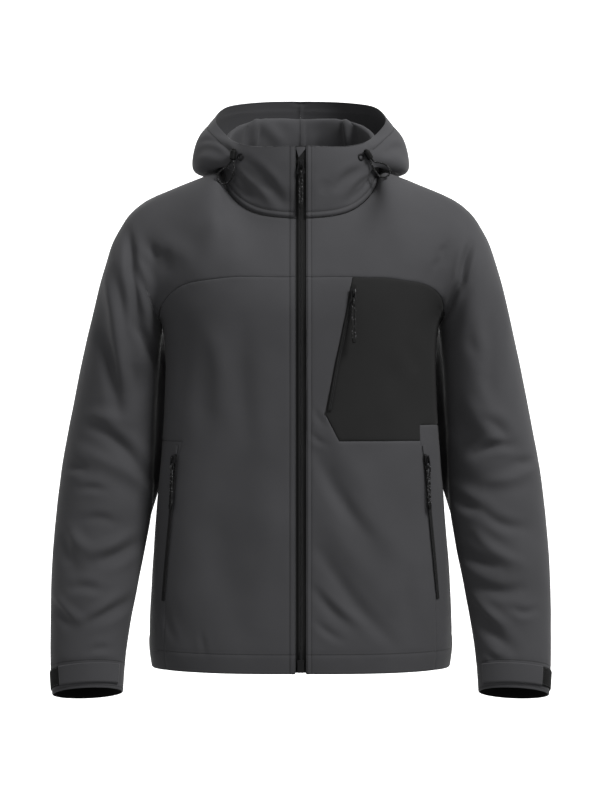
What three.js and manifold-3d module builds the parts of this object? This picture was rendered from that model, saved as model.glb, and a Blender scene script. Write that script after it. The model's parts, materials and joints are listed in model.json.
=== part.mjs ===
import * as THREE from "three";
import { mergeVertices } from "three/addons/utils/BufferGeometryUtils.js";
import Module from "manifold-3d";

// Softshell jacket, men's medium, zipped up and filled out as if worn.
// Millimetres. +X is the wearer's left, -Y the front, +Z up. The origin is the middle of the neck
// opening, level with the high points of the shoulders.

const WALL = 1.8; // softshell cloth with its fleece back
const SEAM_GAP = 0.3; // between two pieces at a seam
const INNER_BEVEL = 0.7; // the inner edge of a wall stands this much further from a seam
const LIFT = 0.4; // under a piece that lies on a panel
const HALF_ZIP = 7; // from the centre line to the edge of a front panel
const UNDERARM = -228; // height of the underarm point
const SQUARE = 2.5; // how boxy the body's rings are
const NECK_CENTRE = -10; // depth of the neck's axis
const NECK_HALF_WIDTH = 112;
const NECK_HALF_DEPTH = 85;
const NECK_SHARE = 0.48; // share of a panel's top that lies on the neck seam

const FRONT = { sign: -1, depth: "front", startX: HALF_ZIP };
const BACK = { sign: 1, depth: "back", startX: 0 };

// Rings of the body from the hem up.
const BODY = [
  { up: -713.5, halfWidth: 213, front: 123, back: 124 },
  { up: -690, halfWidth: 216, front: 125, back: 127 },
  { up: -640, halfWidth: 215, front: 124, back: 127 },
  { up: -560, halfWidth: 211, front: 123, back: 125 },
  { up: -480, halfWidth: 205, front: 123, back: 123 },
  { up: -400, halfWidth: 198, front: 124, back: 123 },
  { up: -330, halfWidth: 194, front: 127, back: 126 },
  { up: -270, halfWidth: 193, front: 130, back: 130 },
  { up: -228, halfWidth: 198, front: 132, back: 132 },
];

// The neck seam round the neck: 0 degrees at the centre front, 180 at the centre back.
const NECK = [
  { turn: 0, up: -84 },
  { turn: 27, up: -79 },
  { turn: 40, up: -71 },
  { turn: 54, up: -57 },
  { turn: 70, up: -37 },
  { turn: 92, up: -9 },
  { turn: 120, up: 3 },
  { turn: 150, up: 10 },
  { turn: 180, up: 12 },
];

// The shoulder seam from the neck to the shoulder point.
const SHOULDER = [
  { share: 0, across: 112, deep: -10, up: -9 },
  { share: 0.3, across: 150, deep: -4, up: -21 },
  { share: 0.58, across: 187, deep: 1, up: -36 },
  { share: 0.84, across: 219, deep: 4, up: -50 },
  { share: 1, across: 240, deep: 5, up: -66 },
];

// The armhole from the underarm up to the shoulder point, at the front and at the back.
const ARMHOLE = {
  front: [
    { share: 0, across: 198, deep: 0, up: -228 },
    { share: 0.17, across: 201, deep: -38, up: -222 },
    { share: 0.37, across: 212, deep: -68, up: -196 },
    { share: 0.56, across: 224, deep: -76, up: -158 },
    { share: 0.75, across: 234, deep: -61, up: -112 },
    { share: 0.91, across: 240, deep: -28, up: -73 },
    { share: 1, across: 240, deep: 5, up: -66 },
  ],
  back: [
    { share: 0, across: 198, deep: 0, up: -228 },
    { share: 0.17, across: 200, deep: 42, up: -222 },
    { share: 0.37, across: 207, deep: 77, up: -196 },
    { share: 0.56, across: 217, deep: 90, up: -158 },
    { share: 0.75, across: 229, deep: 75, up: -112 },
    { share: 0.91, across: 238, deep: 37, up: -73 },
    { share: 1, across: 240, deep: 5, up: -66 },
  ],
};

// Sections of a sleeve from the shoulder down, by the ends of their long axis and their front and
// back; lean is how much lower the back is than the front for each millimetre of depth, and tuck is
// how far the inner back corner goes in behind the body.
const SLEEVE = [
  { outerX: 266, outerZ: -104, innerX: 200, innerZ: -247, front: -84, back: 94, lean: 0, tuck: 10 },
  { outerX: 284, outerZ: -160, innerX: 202.5, innerZ: -272, front: -82, back: 90, lean: 0, tuck: 19 },
  { outerX: 298, outerZ: -218, innerX: 205, innerZ: -304, front: -78, back: 84, lean: 0, tuck: 27 },
  { outerX: 313.5, outerZ: -285, innerX: 207, innerZ: -344, front: -74, back: 79, lean: 0, tuck: 29 },
  { outerX: 327, outerZ: -354, innerX: 209, innerZ: -390, front: -70, back: 75, lean: 0.02, tuck: 30 },
  { outerX: 339.5, outerZ: -422, innerX: 210.5, innerZ: -440, front: -69, back: 68, lean: 0.06, tuck: 31 },
  { outerX: 347.5, outerZ: -490, innerX: 212.5, innerZ: -492, front: -73, back: 58, lean: 0.14, tuck: 13 },
  { outerX: 352, outerZ: -548, innerX: 220.5, innerZ: -542, front: -81, back: 45, lean: 0.24, tuck: 0 },
  { outerX: 353, outerZ: -606, innerX: 230.5, innerZ: -594, front: -91, back: 25, lean: 0.32, tuck: 0 },
  { outerX: 352.5, outerZ: -660, innerX: 240, innerZ: -650, front: -100, back: 2, lean: 0.36, tuck: 0 },
  { outerX: 350.5, outerZ: -710, innerX: 246, innerZ: -703, front: -106, back: -22, lean: 0.36, tuck: 0 },
  { outerX: 347, outerZ: -748, innerX: 248, innerZ: -743, front: -108, back: -42, lean: 0.36, tuck: 0 },
];

const TUCK = { from: 1.5, to: 1.95 }; // the part of a sleeve's round that is tucked in

// Profiles of the hood round the neck, each from the neck seam over the top of the neck stand,
// down into the bag and up to the rim. Out is the distance from the neck's axis.
const HOOD = [
  { turn: 0, topOut: 87, topUp: -58, dropOut: 88.5, dropUp: -38, bagOut: 89, bagUp: -20,
    bulgeOut: 89, bulgeUp: -4, upperOut: 88, upperUp: 8, rimOut: 87, rimUp: 17 },
  { turn: 30, topOut: 94, topUp: -54, dropOut: 95.5, dropUp: -35, bagOut: 96, bagUp: -18,
    bulgeOut: 95.5, bulgeUp: -3, upperOut: 94, upperUp: 8, rimOut: 92, rimUp: 17 },
  { turn: 54, topOut: 105, topUp: -36, dropOut: 107, dropUp: -20, bagOut: 108.5, bagUp: -6,
    bulgeOut: 109, bulgeUp: 6, upperOut: 107, upperUp: 16, rimOut: 102, rimUp: 25 },
  { turn: 72, topOut: 106, topUp: 16, dropOut: 113, dropUp: 11, bagOut: 124, bagUp: -12,
    bulgeOut: 137, bulgeUp: -3, upperOut: 125, upperUp: 28, rimOut: 106, rimUp: 37 },
  { turn: 92, topOut: 101, topUp: 42, dropOut: 110, dropUp: 30, bagOut: 135, bagUp: -12,
    bulgeOut: 152, bulgeUp: -9, upperOut: 146, upperUp: 36, rimOut: 121, rimUp: 58 },
  { turn: 120, topOut: 90, topUp: 60, dropOut: 102, dropUp: 46, bagOut: 130, bagUp: -14,
    bulgeOut: 158, bulgeUp: -6, upperOut: 152, upperUp: 48, rimOut: 130, rimUp: 80 },
  { turn: 150, topOut: 82, topUp: 71, dropOut: 96, dropUp: 58, bagOut: 128, bagUp: -28,
    bulgeOut: 162, bulgeUp: 0, upperOut: 164, upperUp: 62, rimOut: 148, rimUp: 101 },
  { turn: 180, topOut: 84, topUp: 74, dropOut: 99, dropUp: 58, bagOut: 134, bagUp: -46,
    bulgeOut: 172, bulgeUp: 0, upperOut: 174, upperUp: 66, rimOut: 160, rimUp: 111 },
];

// Largest folds: a valley has a depth below 0. Each runs from one point to another as seen from its
// view, across and up, and fades over its width.
const FOLDS = {
  front_left: [
    { view: "front", fromX: 30, fromZ: -404, toX: 92, toZ: -528, width: 13, depth: -4 },
    { view: "front", fromX: 45, fromZ: -395, toX: 125, toZ: -520, width: 20, depth: 3 },
    { view: "front", fromX: 30, fromZ: -545, toX: 115, toZ: -655, width: 12, depth: -4 },
    { view: "front", fromX: 22, fromZ: -470, toX: 95, toZ: -600, width: 15, depth: 3 },
    { view: "front", fromX: 24, fromZ: -594, toX: 62, toZ: -650, width: 10, depth: -3 },
    { view: "front", fromX: 120, fromZ: -290, toX: 168, toZ: -350, width: 14, depth: -3 },
  ],
  front_right: [
    { view: "front", fromX: 160, fromZ: -245, toX: 130, toZ: -370, width: 17, depth: -4 },
    { view: "front", fromX: 128, fromZ: -250, toX: 118, toZ: -350, width: 14, depth: 2.5 },
    { view: "front", fromX: 84, fromZ: -250, toX: 92, toZ: -520, width: 22, depth: -3 },
    { view: "front", fromX: 120, fromZ: -520, toX: 80, toZ: -660, width: 20, depth: -2.5 },
    { view: "front", fromX: 172, fromZ: -628, toX: 160, toZ: -676, width: 7, depth: -3 },
  ],
  yoke: [
    { view: "front", fromX: 214, fromZ: -112, toX: 202, toZ: -150, width: 8, depth: -3 },
    { view: "front", fromX: 203, fromZ: -88, toX: 178, toZ: -150, width: 11, depth: 2.5 },
    { view: "front", fromX: 190, fromZ: -130, toX: 182, toZ: -160, width: 8, depth: -2 },
  ],
  back: [
    { view: "back", fromX: 40, fromZ: -150, toX: 120, toZ: -225, width: 18, depth: -4 },
    { view: "back", fromX: 20, fromZ: -330, toX: 140, toZ: -420, width: 22, depth: -4 },
    { view: "back", fromX: 60, fromZ: -520, toX: 30, toZ: -660, width: 24, depth: -4 },
    { view: "back", fromX: 150, fromZ: -470, toX: 120, toZ: -640, width: 20, depth: -3.5 },
    { view: "back", fromX: 150, fromZ: -180, toX: 170, toZ: -300, width: 14, depth: -4 },
  ],
  sleeve_right: [
    { view: "front", fromX: 240, fromZ: -108, toX: 236, toZ: -190, width: 9, depth: -6 },
    { view: "front", fromX: 236, fromZ: -196, toX: 210, toZ: -274, width: 9, depth: -6 },
    { view: "front", fromX: 226, fromZ: -146, toX: 214, toZ: -190, width: 8, depth: 3 },
    { view: "front", fromX: 268, fromZ: -160, toX: 244, toZ: -330, width: 11, depth: 4 },
    { view: "front", fromX: 282, fromZ: -220, toX: 256, toZ: -345, width: 11, depth: -5 },
    { view: "front", fromX: 256, fromZ: -352, toX: 222, toZ: -300, width: 10, depth: -5 },
    { view: "front", fromX: 240, fromZ: -392, toX: 300, toZ: -404, width: 13, depth: -5 },
    { view: "front", fromX: 222, fromZ: -400, toX: 232, toZ: -440, width: 12, depth: 4 },
    { view: "front", fromX: 226, fromZ: -452, toX: 296, toZ: -436, width: 12, depth: -5 },
    { view: "front", fromX: 236, fromZ: -508, toX: 312, toZ: -520, width: 14, depth: -4 },
    { view: "front", fromX: 250, fromZ: -580, toX: 330, toZ: -566, width: 15, depth: -4 },
    { view: "front", fromX: 256, fromZ: -640, toX: 318, toZ: -652, width: 13, depth: -3.5 },
    { view: "back", fromX: 236, fromZ: -150, toX: 252, toZ: -250, width: 12, depth: -5 },
    { view: "back", fromX: 226, fromZ: -380, toX: 300, toZ: -400, width: 14, depth: -5 },
    { view: "back", fromX: 240, fromZ: -470, toX: 320, toZ: -452, width: 14, depth: -5 },
    { view: "back", fromX: 250, fromZ: -560, toX: 330, toZ: -580, width: 15, depth: -4 },
  ],
  sleeve_left: [
    { view: "front", fromX: 238, fromZ: -122, toX: 226, toZ: -190, width: 10, depth: -7 },
    { view: "front", fromX: 224, fromZ: -194, toX: 212, toZ: -244, width: 9, depth: -5 },
    { view: "front", fromX: 262, fromZ: -190, toX: 264, toZ: -330, width: 12, depth: -3.5 },
    { view: "front", fromX: 280, fromZ: -150, toX: 292, toZ: -260, width: 13, depth: 3 },
    { view: "front", fromX: 222, fromZ: -368, toX: 246, toZ: -420, width: 12, depth: -6 },
    { view: "front", fromX: 236, fromZ: -346, toX: 290, toZ: -384, width: 12, depth: 4 },
    { view: "front", fromX: 244, fromZ: -400, toX: 316, toZ: -416, width: 12, depth: -5 },
    { view: "front", fromX: 230, fromZ: -460, toX: 300, toZ: -444, width: 13, depth: -4 },
    { view: "front", fromX: 236, fromZ: -540, toX: 318, toZ: -516, width: 14, depth: -4 },
    { view: "front", fromX: 252, fromZ: -596, toX: 330, toZ: -600, width: 15, depth: -4 },
    { view: "front", fromX: 262, fromZ: -664, toX: 330, toZ: -644, width: 12, depth: -3 },
    { view: "back", fromX: 238, fromZ: -140, toX: 248, toZ: -240, width: 12, depth: -5 },
    { view: "back", fromX: 230, fromZ: -396, toX: 306, toZ: -378, width: 14, depth: -5 },
    { view: "back", fromX: 236, fromZ: -480, toX: 316, toZ: -470, width: 14, depth: -4 },
    { view: "back", fromX: 256, fromZ: -590, toX: 330, toZ: -566, width: 15, depth: -4 },
  ],
  hood_right: [
    { view: "front", fromX: 84, fromZ: -14, toX: 28, toZ: -60, width: 8, depth: -4 },
    { view: "front", fromX: 92, fromZ: -36, toX: 66, toZ: -56, width: 6, depth: -3 },
    { view: "front", fromX: 144, fromZ: 30, toX: 116, toZ: 12, width: 8, depth: -4 },
  ],
  hood_left: [
    { view: "front", fromX: 84, fromZ: -18, toX: 54, toZ: -40, width: 8, depth: -2.5 },
    { view: "front", fromX: 97, fromZ: -34, toX: 70, toZ: -57, width: 6, depth: -3 },
    { view: "front", fromX: 144, fromZ: 26, toX: 118, toZ: 14, width: 8, depth: -3 },
  ],
};

// Tables whose shape runs on level over the centre line, to the other half.
const LEVEL_ENDED = [NECK, HOOD];

const SHELL = new THREE.MeshStandardMaterial({ color: 0x464648, roughness: 0.9, metalness: 0 });
const BLACK_SHELL = new THREE.MeshStandardMaterial({ color: 0x242424, roughness: 0.9, metalness: 0 });
const TAPE = new THREE.MeshStandardMaterial({ color: 0x151515, roughness: 0.75, metalness: 0 });
const ENAMEL = new THREE.MeshStandardMaterial({ color: 0x121212, roughness: 0.35, metalness: 0.4 });
const CORD = new THREE.MeshStandardMaterial({ color: 0x111111, roughness: 0.8, metalness: 0 });

const radians = THREE.MathUtils.degToRad;
const clamp = THREE.MathUtils.clamp;
const smooth = THREE.MathUtils.smoothstep;

// One column of a table at a place along its key column, on a smooth curve through the rows.
function valueAt(table, key, place, column) {
  const last = table.length - 1;
  const level = LEVEL_ENDED.includes(table);
  let i = 0;
  while (i < last - 1 && (table[i + 1][key] - place) * (table[last][key] - table[0][key]) < 0) i += 1;
  const slope = (j) => {
    if (level && (j === 0 || j === last)) return 0;
    const before = table[Math.max(j - 1, 0)];
    const after = table[Math.min(j + 1, last)];
    return (after[column] - before[column]) / (after[key] - before[key]);
  };
  const span = table[i + 1][key] - table[i][key];
  const t = clamp((place - table[i][key]) / span, 0, 1);
  const t2 = t * t;
  const t3 = t2 * t;
  return (
    (2 * t3 - 3 * t2 + 1) * table[i][column] +
    (t3 - 2 * t2 + t) * span * slope(i) +
    (3 * t2 - 2 * t3) * table[i + 1][column] +
    (t3 - t2) * span * slope(i + 1)
  );
}

function pointOf(table, key, place) {
  return new THREE.Vector3(
    valueAt(table, key, place, "across"),
    valueAt(table, key, place, "deep"),
    valueAt(table, key, place, "up"),
  );
}

// A point of the neck seam, by its turn round the neck in degrees.
function neckPoint(turn) {
  const angle = radians(turn);
  const zipShare = (HALF_ZIP * (1 + Math.cos(angle))) / 2;
  return new THREE.Vector3(
    zipShare + (NECK_HALF_WIDTH - zipShare) * Math.sin(angle),
    NECK_CENTRE - NECK_HALF_DEPTH * Math.cos(angle),
    valueAt(NECK, "turn", turn, "up"),
  );
}

// The body's surface. c runs from the centre line, 0, to the side seam and armhole, 1. v runs from
// the hem, 0, to the level of the underarm, 1, and on to the neck and shoulder seams, 2.
function ringPoint(face, c, up) {
  const angle = (Math.PI / 2) * Math.pow(c, 1.4);
  const halfWidth = valueAt(BODY, "up", up, "halfWidth");
  const depth = valueAt(BODY, "up", up, face.depth);
  return new THREE.Vector3(
    face.startX + (halfWidth - face.startX) * Math.pow(Math.sin(angle), 2 / SQUARE),
    face.sign * depth * Math.pow(Math.max(Math.cos(angle), 0), 2 / SQUARE),
    up,
  );
}

function topPoint(face, c) {
  if (c > NECK_SHARE) return pointOf(SHOULDER, "share", (c - NECK_SHARE) / (1 - NECK_SHARE));
  const quarter = (90 * c) / NECK_SHARE;
  return neckPoint(face === FRONT ? quarter : 180 - quarter);
}

// The direction in which the cloth comes up to the neck or shoulder seam.
function topHeading(face, c) {
  const share = clamp(c / NECK_SHARE, 0, 1);
  const steep = face === FRONT ? 0.94 : 0.88;
  const rise = THREE.MathUtils.lerp(steep, 0.06, share * share);
  return new THREE.Vector3(0, -face.sign * Math.sqrt(1 - rise * rise), rise);
}

function columnPoint(face, c, t) {
  const low = ringPoint(face, c, UNDERARM);
  const top = topPoint(face, c);
  const reach = 0.36 * low.distanceTo(top);
  const start = low.clone().sub(ringPoint(face, c, UNDERARM - 12)).normalize();
  const curve = new THREE.CubicBezierCurve3(
    low,
    low.clone().addScaledVector(start, reach),
    top.clone().addScaledVector(topHeading(face, c), -reach * (c > NECK_SHARE ? 1.15 : 1)),
    top,
  );
  return curve.getPoint(t);
}

function smoothBody(face, c, v) {
  if (v <= 1) return ringPoint(face, c, BODY[0].up + (UNDERARM - BODY[0].up) * v);
  const t = v - 1;
  const armhole = pointOf(ARMHOLE[face.depth], "share", t);
  const pull = armhole.sub(columnPoint(face, 1, t));
  return columnPoint(face, c, t).addScaledVector(pull, Math.pow(c, 5));
}

// How far folds move a point of cloth out along its normal.
function foldHeight(point, normal, folds) {
  let height = 0;
  for (const fold of folds) {
    const facing = fold.view === "front" ? -normal.y : normal.y;
    const x = fold.toX - fold.fromX;
    const z = fold.toZ - fold.fromZ;
    const length = Math.hypot(x, z);
    const aX = point.x - fold.fromX;
    const aZ = point.z - fold.fromZ;
    const along = clamp((aX * x + aZ * z) / (length * length), 0, 1);
    const away = Math.hypot(aX - along * x, aZ - along * z);
    const taper = 0.45 + 0.55 * Math.sin(Math.PI * clamp(along, 0.05, 0.95));
    const spread = Math.exp(-((away / fold.width) ** 2));
    height += fold.depth * spread * taper * smooth(facing, 0.05, 0.4);
  }
  return height;
}

// A surface with its folds: the point and the outward normal at two parameters. hand is 1 where the
// first parameter crossed with the second faces out, and still is 0 where no fold may move the edge.
function foldedSpot(surface, a, b, hand, folds, still) {
  const e = 0.004;
  const normalOf = (f, p, q) => {
    const along = f(p + e, q).sub(f(p - e, q));
    const up = f(p, q + e).sub(f(p, q - e));
    return along.cross(up).normalize().multiplyScalar(hand);
  };
  const lifted = (p, q) => {
    const point = surface(p, q);
    const flat = normalOf(surface, p, q);
    return point.addScaledVector(flat, foldHeight(point, flat, folds) * still(p, q));
  };
  return { point: lifted(a, b), normal: normalOf(lifted, a, b) };
}

function bodySpot(face, spot, folds, side = 1) {
  const surface = (c, v) => {
    const point = smoothBody(face, clamp(c, 0, 1), clamp(v, 0, 2));
    return point.setX(point.x * side);
  };
  const still = (c, v) => smooth(2 - v, 0, 0.1) * (v > 0.95 ? smooth(1 - c, 0, 0.12) : 1);
  return foldedSpot(surface, spot.c, spot.v, -face.sign * side, folds, still);
}

// The sleeve's surface. f runs round it from the underarm, 0, over the front and the shoulder
// point, 1, to the underarm again, 2. s runs from the armhole, 0, to the cuff, 1.
function sleevePoint(f, s) {
  const start = f <= 1 ? pointOf(ARMHOLE.front, "share", f) : pointOf(ARMHOLE.back, "share", 2 - f);
  const angle = Math.PI * (1 - f);
  const corner = Math.sin(Math.PI * clamp((f - TUCK.from) / (TUCK.to - TUCK.from), 0, 1)) ** 2;
  const spine = SLEEVE.map((section) => {
    const deep = -Math.sin(angle) * ((section.back - section.front) / 2);
    const across = (1 + Math.cos(angle)) / 2;
    return new THREE.Vector3(
      THREE.MathUtils.lerp(section.innerX, section.outerX, across) - section.tuck * corner,
      (section.front + section.back) / 2 + deep,
      THREE.MathUtils.lerp(section.innerZ, section.outerZ, across) - section.lean * deep,
    );
  });
  return new THREE.CatmullRomCurve3([start, ...spine]).getPoint(s);
}

function sleeveSpot(f, s, folds) {
  const surface = (p, q) => sleevePoint((p + 2) % 2, clamp(q, 0, 1));
  const still = (p, q) => smooth(q, 0, 0.07) * smooth(1 - q, 0, 0.03);
  return foldedSpot(surface, f, s, -1, folds, still);
}

// The hood's surface. turn runs round the neck from the centre front, 0, to the centre back, 180.
// s runs along the profile from the neck seam, 0, to the rim, 1.
function hoodPoint(turn, s) {
  const seam = neckPoint(turn);
  const round = radians(turn);
  const angle = Math.atan2(NECK_HALF_WIDTH * Math.sin(round), NECK_HALF_DEPTH * Math.cos(round));
  const zipShare = (HALF_ZIP * (1 + Math.cos(angle))) / 2;
  const at = (name) => {
    const out = valueAt(HOOD, "turn", turn, name + "Out");
    return new THREE.Vector3(
      zipShare * (1 - Math.sin(angle)) + out * Math.sin(angle),
      NECK_CENTRE - out * Math.cos(angle),
      valueAt(HOOD, "turn", turn, name + "Up"),
    );
  };
  const top = at("top");
  const stand = seam.clone().lerp(top, 0.5);
  const lean = smooth(turn, 60, 110) * 5; // the neck stand's side draws in a little
  stand.x -= lean * Math.sin(angle);
  stand.y += lean * Math.cos(angle);
  const profile = [seam, stand, top, at("drop"), at("bag"), at("bulge"), at("upper"), at("rim")];
  return new THREE.CatmullRomCurve3(profile).getPoint(s);
}

function hoodSpot(turn, s, folds) {
  const surface = (p, q) => hoodPoint(clamp(p * 90, 0, 180), clamp(q, 0, 1));
  const still = (p, q) => smooth(q, 0, 0.08) * smooth(p, 0, 0.1) * smooth(2 - p, 0, 0.1);
  return foldedSpot(surface, turn / 90, s, 1, folds, still);
}

// Where a point of the front view, across and up, lies on the front surface.
function locate([across, up]) {
  const heightAt = (c, v) => smoothBody(FRONT, c, v).z;
  const rowAt = (c) => {
    let low = 0;
    let high = 2;
    for (let i = 0; i < 26; i += 1) {
      const middle = (low + high) / 2;
      if (heightAt(c, middle) < up) low = middle;
      else high = middle;
    }
    return low;
  };
  let near = 0;
  let far = 1;
  for (let i = 0; i < 26; i += 1) {
    const middle = (near + far) / 2;
    if (smoothBody(FRONT, middle, rowAt(middle)).x < across) near = middle;
    else far = middle;
  }
  return { c: near, v: rowAt(near) };
}

// Seams are lists of spots on the surface, evenly spaced from corner to corner.
function seamThrough(spots, steps) {
  const curve = new THREE.CatmullRomCurve3(spots.map((s) => new THREE.Vector3(s.c, s.v, 0)));
  if (spots.length === 2) curve.curveType = "catmullrom";
  return Array.from({ length: steps + 1 }, (_, i) => {
    const at = curve.getPointAt(i / steps);
    return { c: at.x, v: at.y };
  });
}

const join = (...seams) => seams.flatMap((seam, i) => (i ? seam.slice(1) : seam));

// A block of spots between four seams; bottom and top run outwards, left and right run upwards.
function blockBetween(bottom, top, left, right) {
  const columns = bottom.length - 1;
  const rows = left.length - 1;
  const mix = (key, i, j) => {
    const s = j / columns;
    const t = i / rows;
    const edges =
      (1 - t) * bottom[j][key] + t * top[j][key] + (1 - s) * left[i][key] + s * right[i][key];
    const corners =
      (1 - t) * ((1 - s) * bottom[0][key] + s * bottom[columns][key]) +
      t * ((1 - s) * top[0][key] + s * top[columns][key]);
    return edges - corners;
  };
  return left.map((_, i) => bottom.map((__, j) => ({ c: mix("c", i, j), v: mix("v", i, j) })));
}

// A cloth piece: a closed wall on one or more grids of spots, drawn in by half the seam gap all round.
function clothPiece(name, grids, material, side, wall = WALL) {
  const spots = [];
  const found = new Map();
  const indexOf = ({ point, normal }) => {
    const key = [point.x, point.y, point.z].map((n) => Math.round(n * 50)).join();
    if (!found.has(key)) {
      found.set(key, spots.length);
      spots.push({ point: point.clone(), normal: normal.clone(), shift: new THREE.Vector3() });
    }
    return found.get(key);
  };
  const faces = [];
  for (const grid of grids) {
    const ids = grid.map((row) => row.map(indexOf));
    const quads = [];
    let facing = 0;
    for (let i = 0; i + 1 < ids.length; i += 1) {
      for (let j = 0; j + 1 < ids[i].length; j += 1) {
        const quad = [ids[i][j], ids[i][j + 1], ids[i + 1][j + 1], ids[i + 1][j]];
        const [a, b, c, d] = quad.map((id) => spots[id].point);
        facing += Math.sign(c.clone().sub(a).cross(d.clone().sub(b)).dot(spots[quad[0]].normal));
        quads.push(quad);
      }
    }
    if (facing < 0) quads.forEach((quad) => quad.reverse());
    faces.push(...quads);
  }
  const edges = new Map();
  for (const face of faces) {
    face.forEach((from, k) => edges.set(`${from},${face[(k + 1) % 4]}`, [from, face[(k + 1) % 4]]));
  }
  const border = [...edges.values()].filter(([from, to]) => !edges.has(`${to},${from}`));
  const inwards = new Map();
  for (const [from, to] of border) {
    const along = spots[to].point.clone().sub(spots[from].point).normalize();
    for (const id of [from, to]) {
      const inward = spots[id].normal.clone().cross(along).normalize();
      inwards.set(id, [...(inwards.get(id) ?? []), inward]);
    }
  }
  for (const [id, list] of inwards) {
    const sum = list.reduce((total, inward) => total.add(inward), new THREE.Vector3());
    spots[id].shift.copy(sum.multiplyScalar(1 / (1 + clamp(list[0].dot(list.at(-1)), -0.2, 1))));
  }
  const count = spots.length;
  const positions = [];
  for (const { point, shift } of spots) {
    positions.push(point.clone().addScaledVector(shift, SEAM_GAP / 2));
  }
  for (const { point, normal, shift } of spots) {
    const inner = point.clone().addScaledVector(shift, SEAM_GAP / 2 + INNER_BEVEL);
    positions.push(inner.addScaledVector(normal, -wall));
  }
  const index = [];
  for (const [a, b, c, d] of faces) {
    index.push(a, b, c, a, c, d);
    index.push(a + count, c + count, b + count, a + count, d + count, c + count);
  }
  for (const [a, b] of border) index.push(b, a, a + count, b, a + count, b + count);
  return meshOf(name, positions, index, material, side);
}

function meshOf(name, positions, index, material, side = 1) {
  const turned = [];
  for (let i = 0; i < index.length; i += 3) {
    turned.push(index[i], index[side > 0 ? i + 1 : i + 2], index[side > 0 ? i + 2 : i + 1]);
  }
  const geometry = new THREE.BufferGeometry();
  const flat = positions.flatMap((p) => [p.x * side, p.y, p.z]);
  geometry.setAttribute("position", new THREE.Float32BufferAttribute(flat, 3));
  geometry.setIndex(turned);
  geometry.computeVertexNormals();
  const mesh = new THREE.Mesh(geometry, material);
  mesh.name = name;
  return mesh;
}

const jacket = new THREE.Group();
jacket.name = "softshell_jacket";

const gridOn = (face, block, folds) => block.map((row) => row.map((spot) => bodySpot(face, spot, folds)));
const column = (c, from, to, steps) => seamThrough([{ c, v: from }, { c, v: to }], steps);
const row = (v, from, to, steps) => seamThrough([{ c: from, v }, { c: to, v }], steps);

// Front panels. Corners are named by their place in the front view, across and up.
const YOKE_SEAM = {
  start: [16, -166.3],
  inner: [44, -166.4],
  left: {
    line: [[71.5, -166.6], [104, -168], [137.7, -170], [169, -173], [190, -183], [201, -197]],
    endV: 1.2,
  },
  right: {
    line: [[83, -166], [104, -167.2], [125, -169], [153, -172.5], [173, -180], [188, -193]],
    endV: 1.14,
  },
};
const POCKET_FOOT = [52.9, -392.8];
const POCKET_POINT = [33.7, -355.3];
const SLANT = [[46.3, -292], [58.9, -229]]; // on the straight edge from the point up to the yoke seam
const NOTCH_TOP = [167.4, -371];
const NOTCH_FOOT = [167.4, -392.8];
const SIDE_TOP_RIGHT = [165.1, -393.3];
const SIDE_LINE = {
  left: [[170, -412.8], [179, -510], [188.5, -614]],
  right: [[171.8, -412.8], [180, -510], [189.4, -617]],
};
const STEPS = {
  yokeInner: 4, yokeOuter: 7, chest: 9, skirt: 13, sidePanel: 2, neck: 7, armhole: 8, underarm: 2,
};

function sideSeam(side, top) {
  const spots = SIDE_LINE[side].map(locate);
  const foot = { c: spots.at(-1).c - 0.005, v: 0 };
  return seamThrough([foot, ...spots.reverse(), top], STEPS.skirt);
}

function frontLeft() {
  const corner = locate(YOKE_SEAM.left.line[0]);
  const start = { c: 0, v: locate(YOKE_SEAM.start).v };
  const armEnd = { c: 1, v: YOKE_SEAM.left.endV };
  const seamInner = seamThrough([start, locate(YOKE_SEAM.inner), corner], STEPS.yokeInner);
  const outerSpots = YOKE_SEAM.left.line.slice(1).map(locate);
  const seamOuter = seamThrough([corner, ...outerSpots, armEnd], STEPS.yokeOuter);
  const point = locate(POCKET_POINT);
  const foot = locate(POCKET_FOOT);
  const notchTop = locate(NOTCH_TOP);
  const notchFoot = locate(NOTCH_FOOT);
  const slantUp = seamThrough([point, ...SLANT.map(locate), corner], STEPS.chest - 1);
  const slantFoot = seamThrough([foot, point], 1);
  const innerFold = seamOuter[STEPS.yokeOuter - 2];
  const pocketBottom = seamThrough([foot, notchFoot], STEPS.yokeOuter - 2);
  const pocketMiddle = seamThrough([point, notchTop], STEPS.yokeOuter - 2);
  const notchSide = seamThrough([notchFoot, notchTop], 1);
  const chestColumn = seamThrough([notchTop, innerFold], STEPS.chest - 1);
  const underarm = column(1, 1, armEnd.v, STEPS.underarm);
  const armColumn = join(column(1, notchTop.v, 1, STEPS.chest - 1 - STEPS.underarm), underarm);
  const notchRow = seamThrough([notchTop, armColumn[0]], STEPS.sidePanel);
  const level = { c: 0, v: foot.v };
  const chestFoot = seamThrough([level, foot], STEPS.yokeInner);
  const side = sideSeam("left", notchFoot);
  const hem = row(0, 0, side[0].c, chestFoot.length + pocketBottom.length - 2);
  const sideHem = row(0, side[0].c, 1, STEPS.sidePanel);
  const outerSide = column(1, 0, notchTop.v, STEPS.skirt + 1);
  return {
    front: [
      blockBetween(chestFoot, seamInner, column(0, foot.v, start.v, STEPS.chest), join(slantFoot, slantUp)),
      blockBetween(hem, join(chestFoot, pocketBottom), column(0, 0, foot.v, STEPS.skirt), side),
    ],
    pocket: [
      blockBetween(pocketMiddle, seamOuter.slice(0, STEPS.yokeOuter - 1), slantUp, chestColumn),
      blockBetween(pocketBottom, pocketMiddle, slantFoot, notchSide),
      blockBetween(notchRow, seamOuter.slice(STEPS.yokeOuter - 2), chestColumn, armColumn),
    ],
    side: [blockBetween(sideHem, notchRow, join(side, notchSide), outerSide)],
    yoke: yokeBlock(join(seamInner, seamOuter), armEnd.v),
    armhole: join(underarm, column(1, armEnd.v, 2, STEPS.armhole)),
    slant: slantUp,
    handSeam: side,
  };
}

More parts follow.
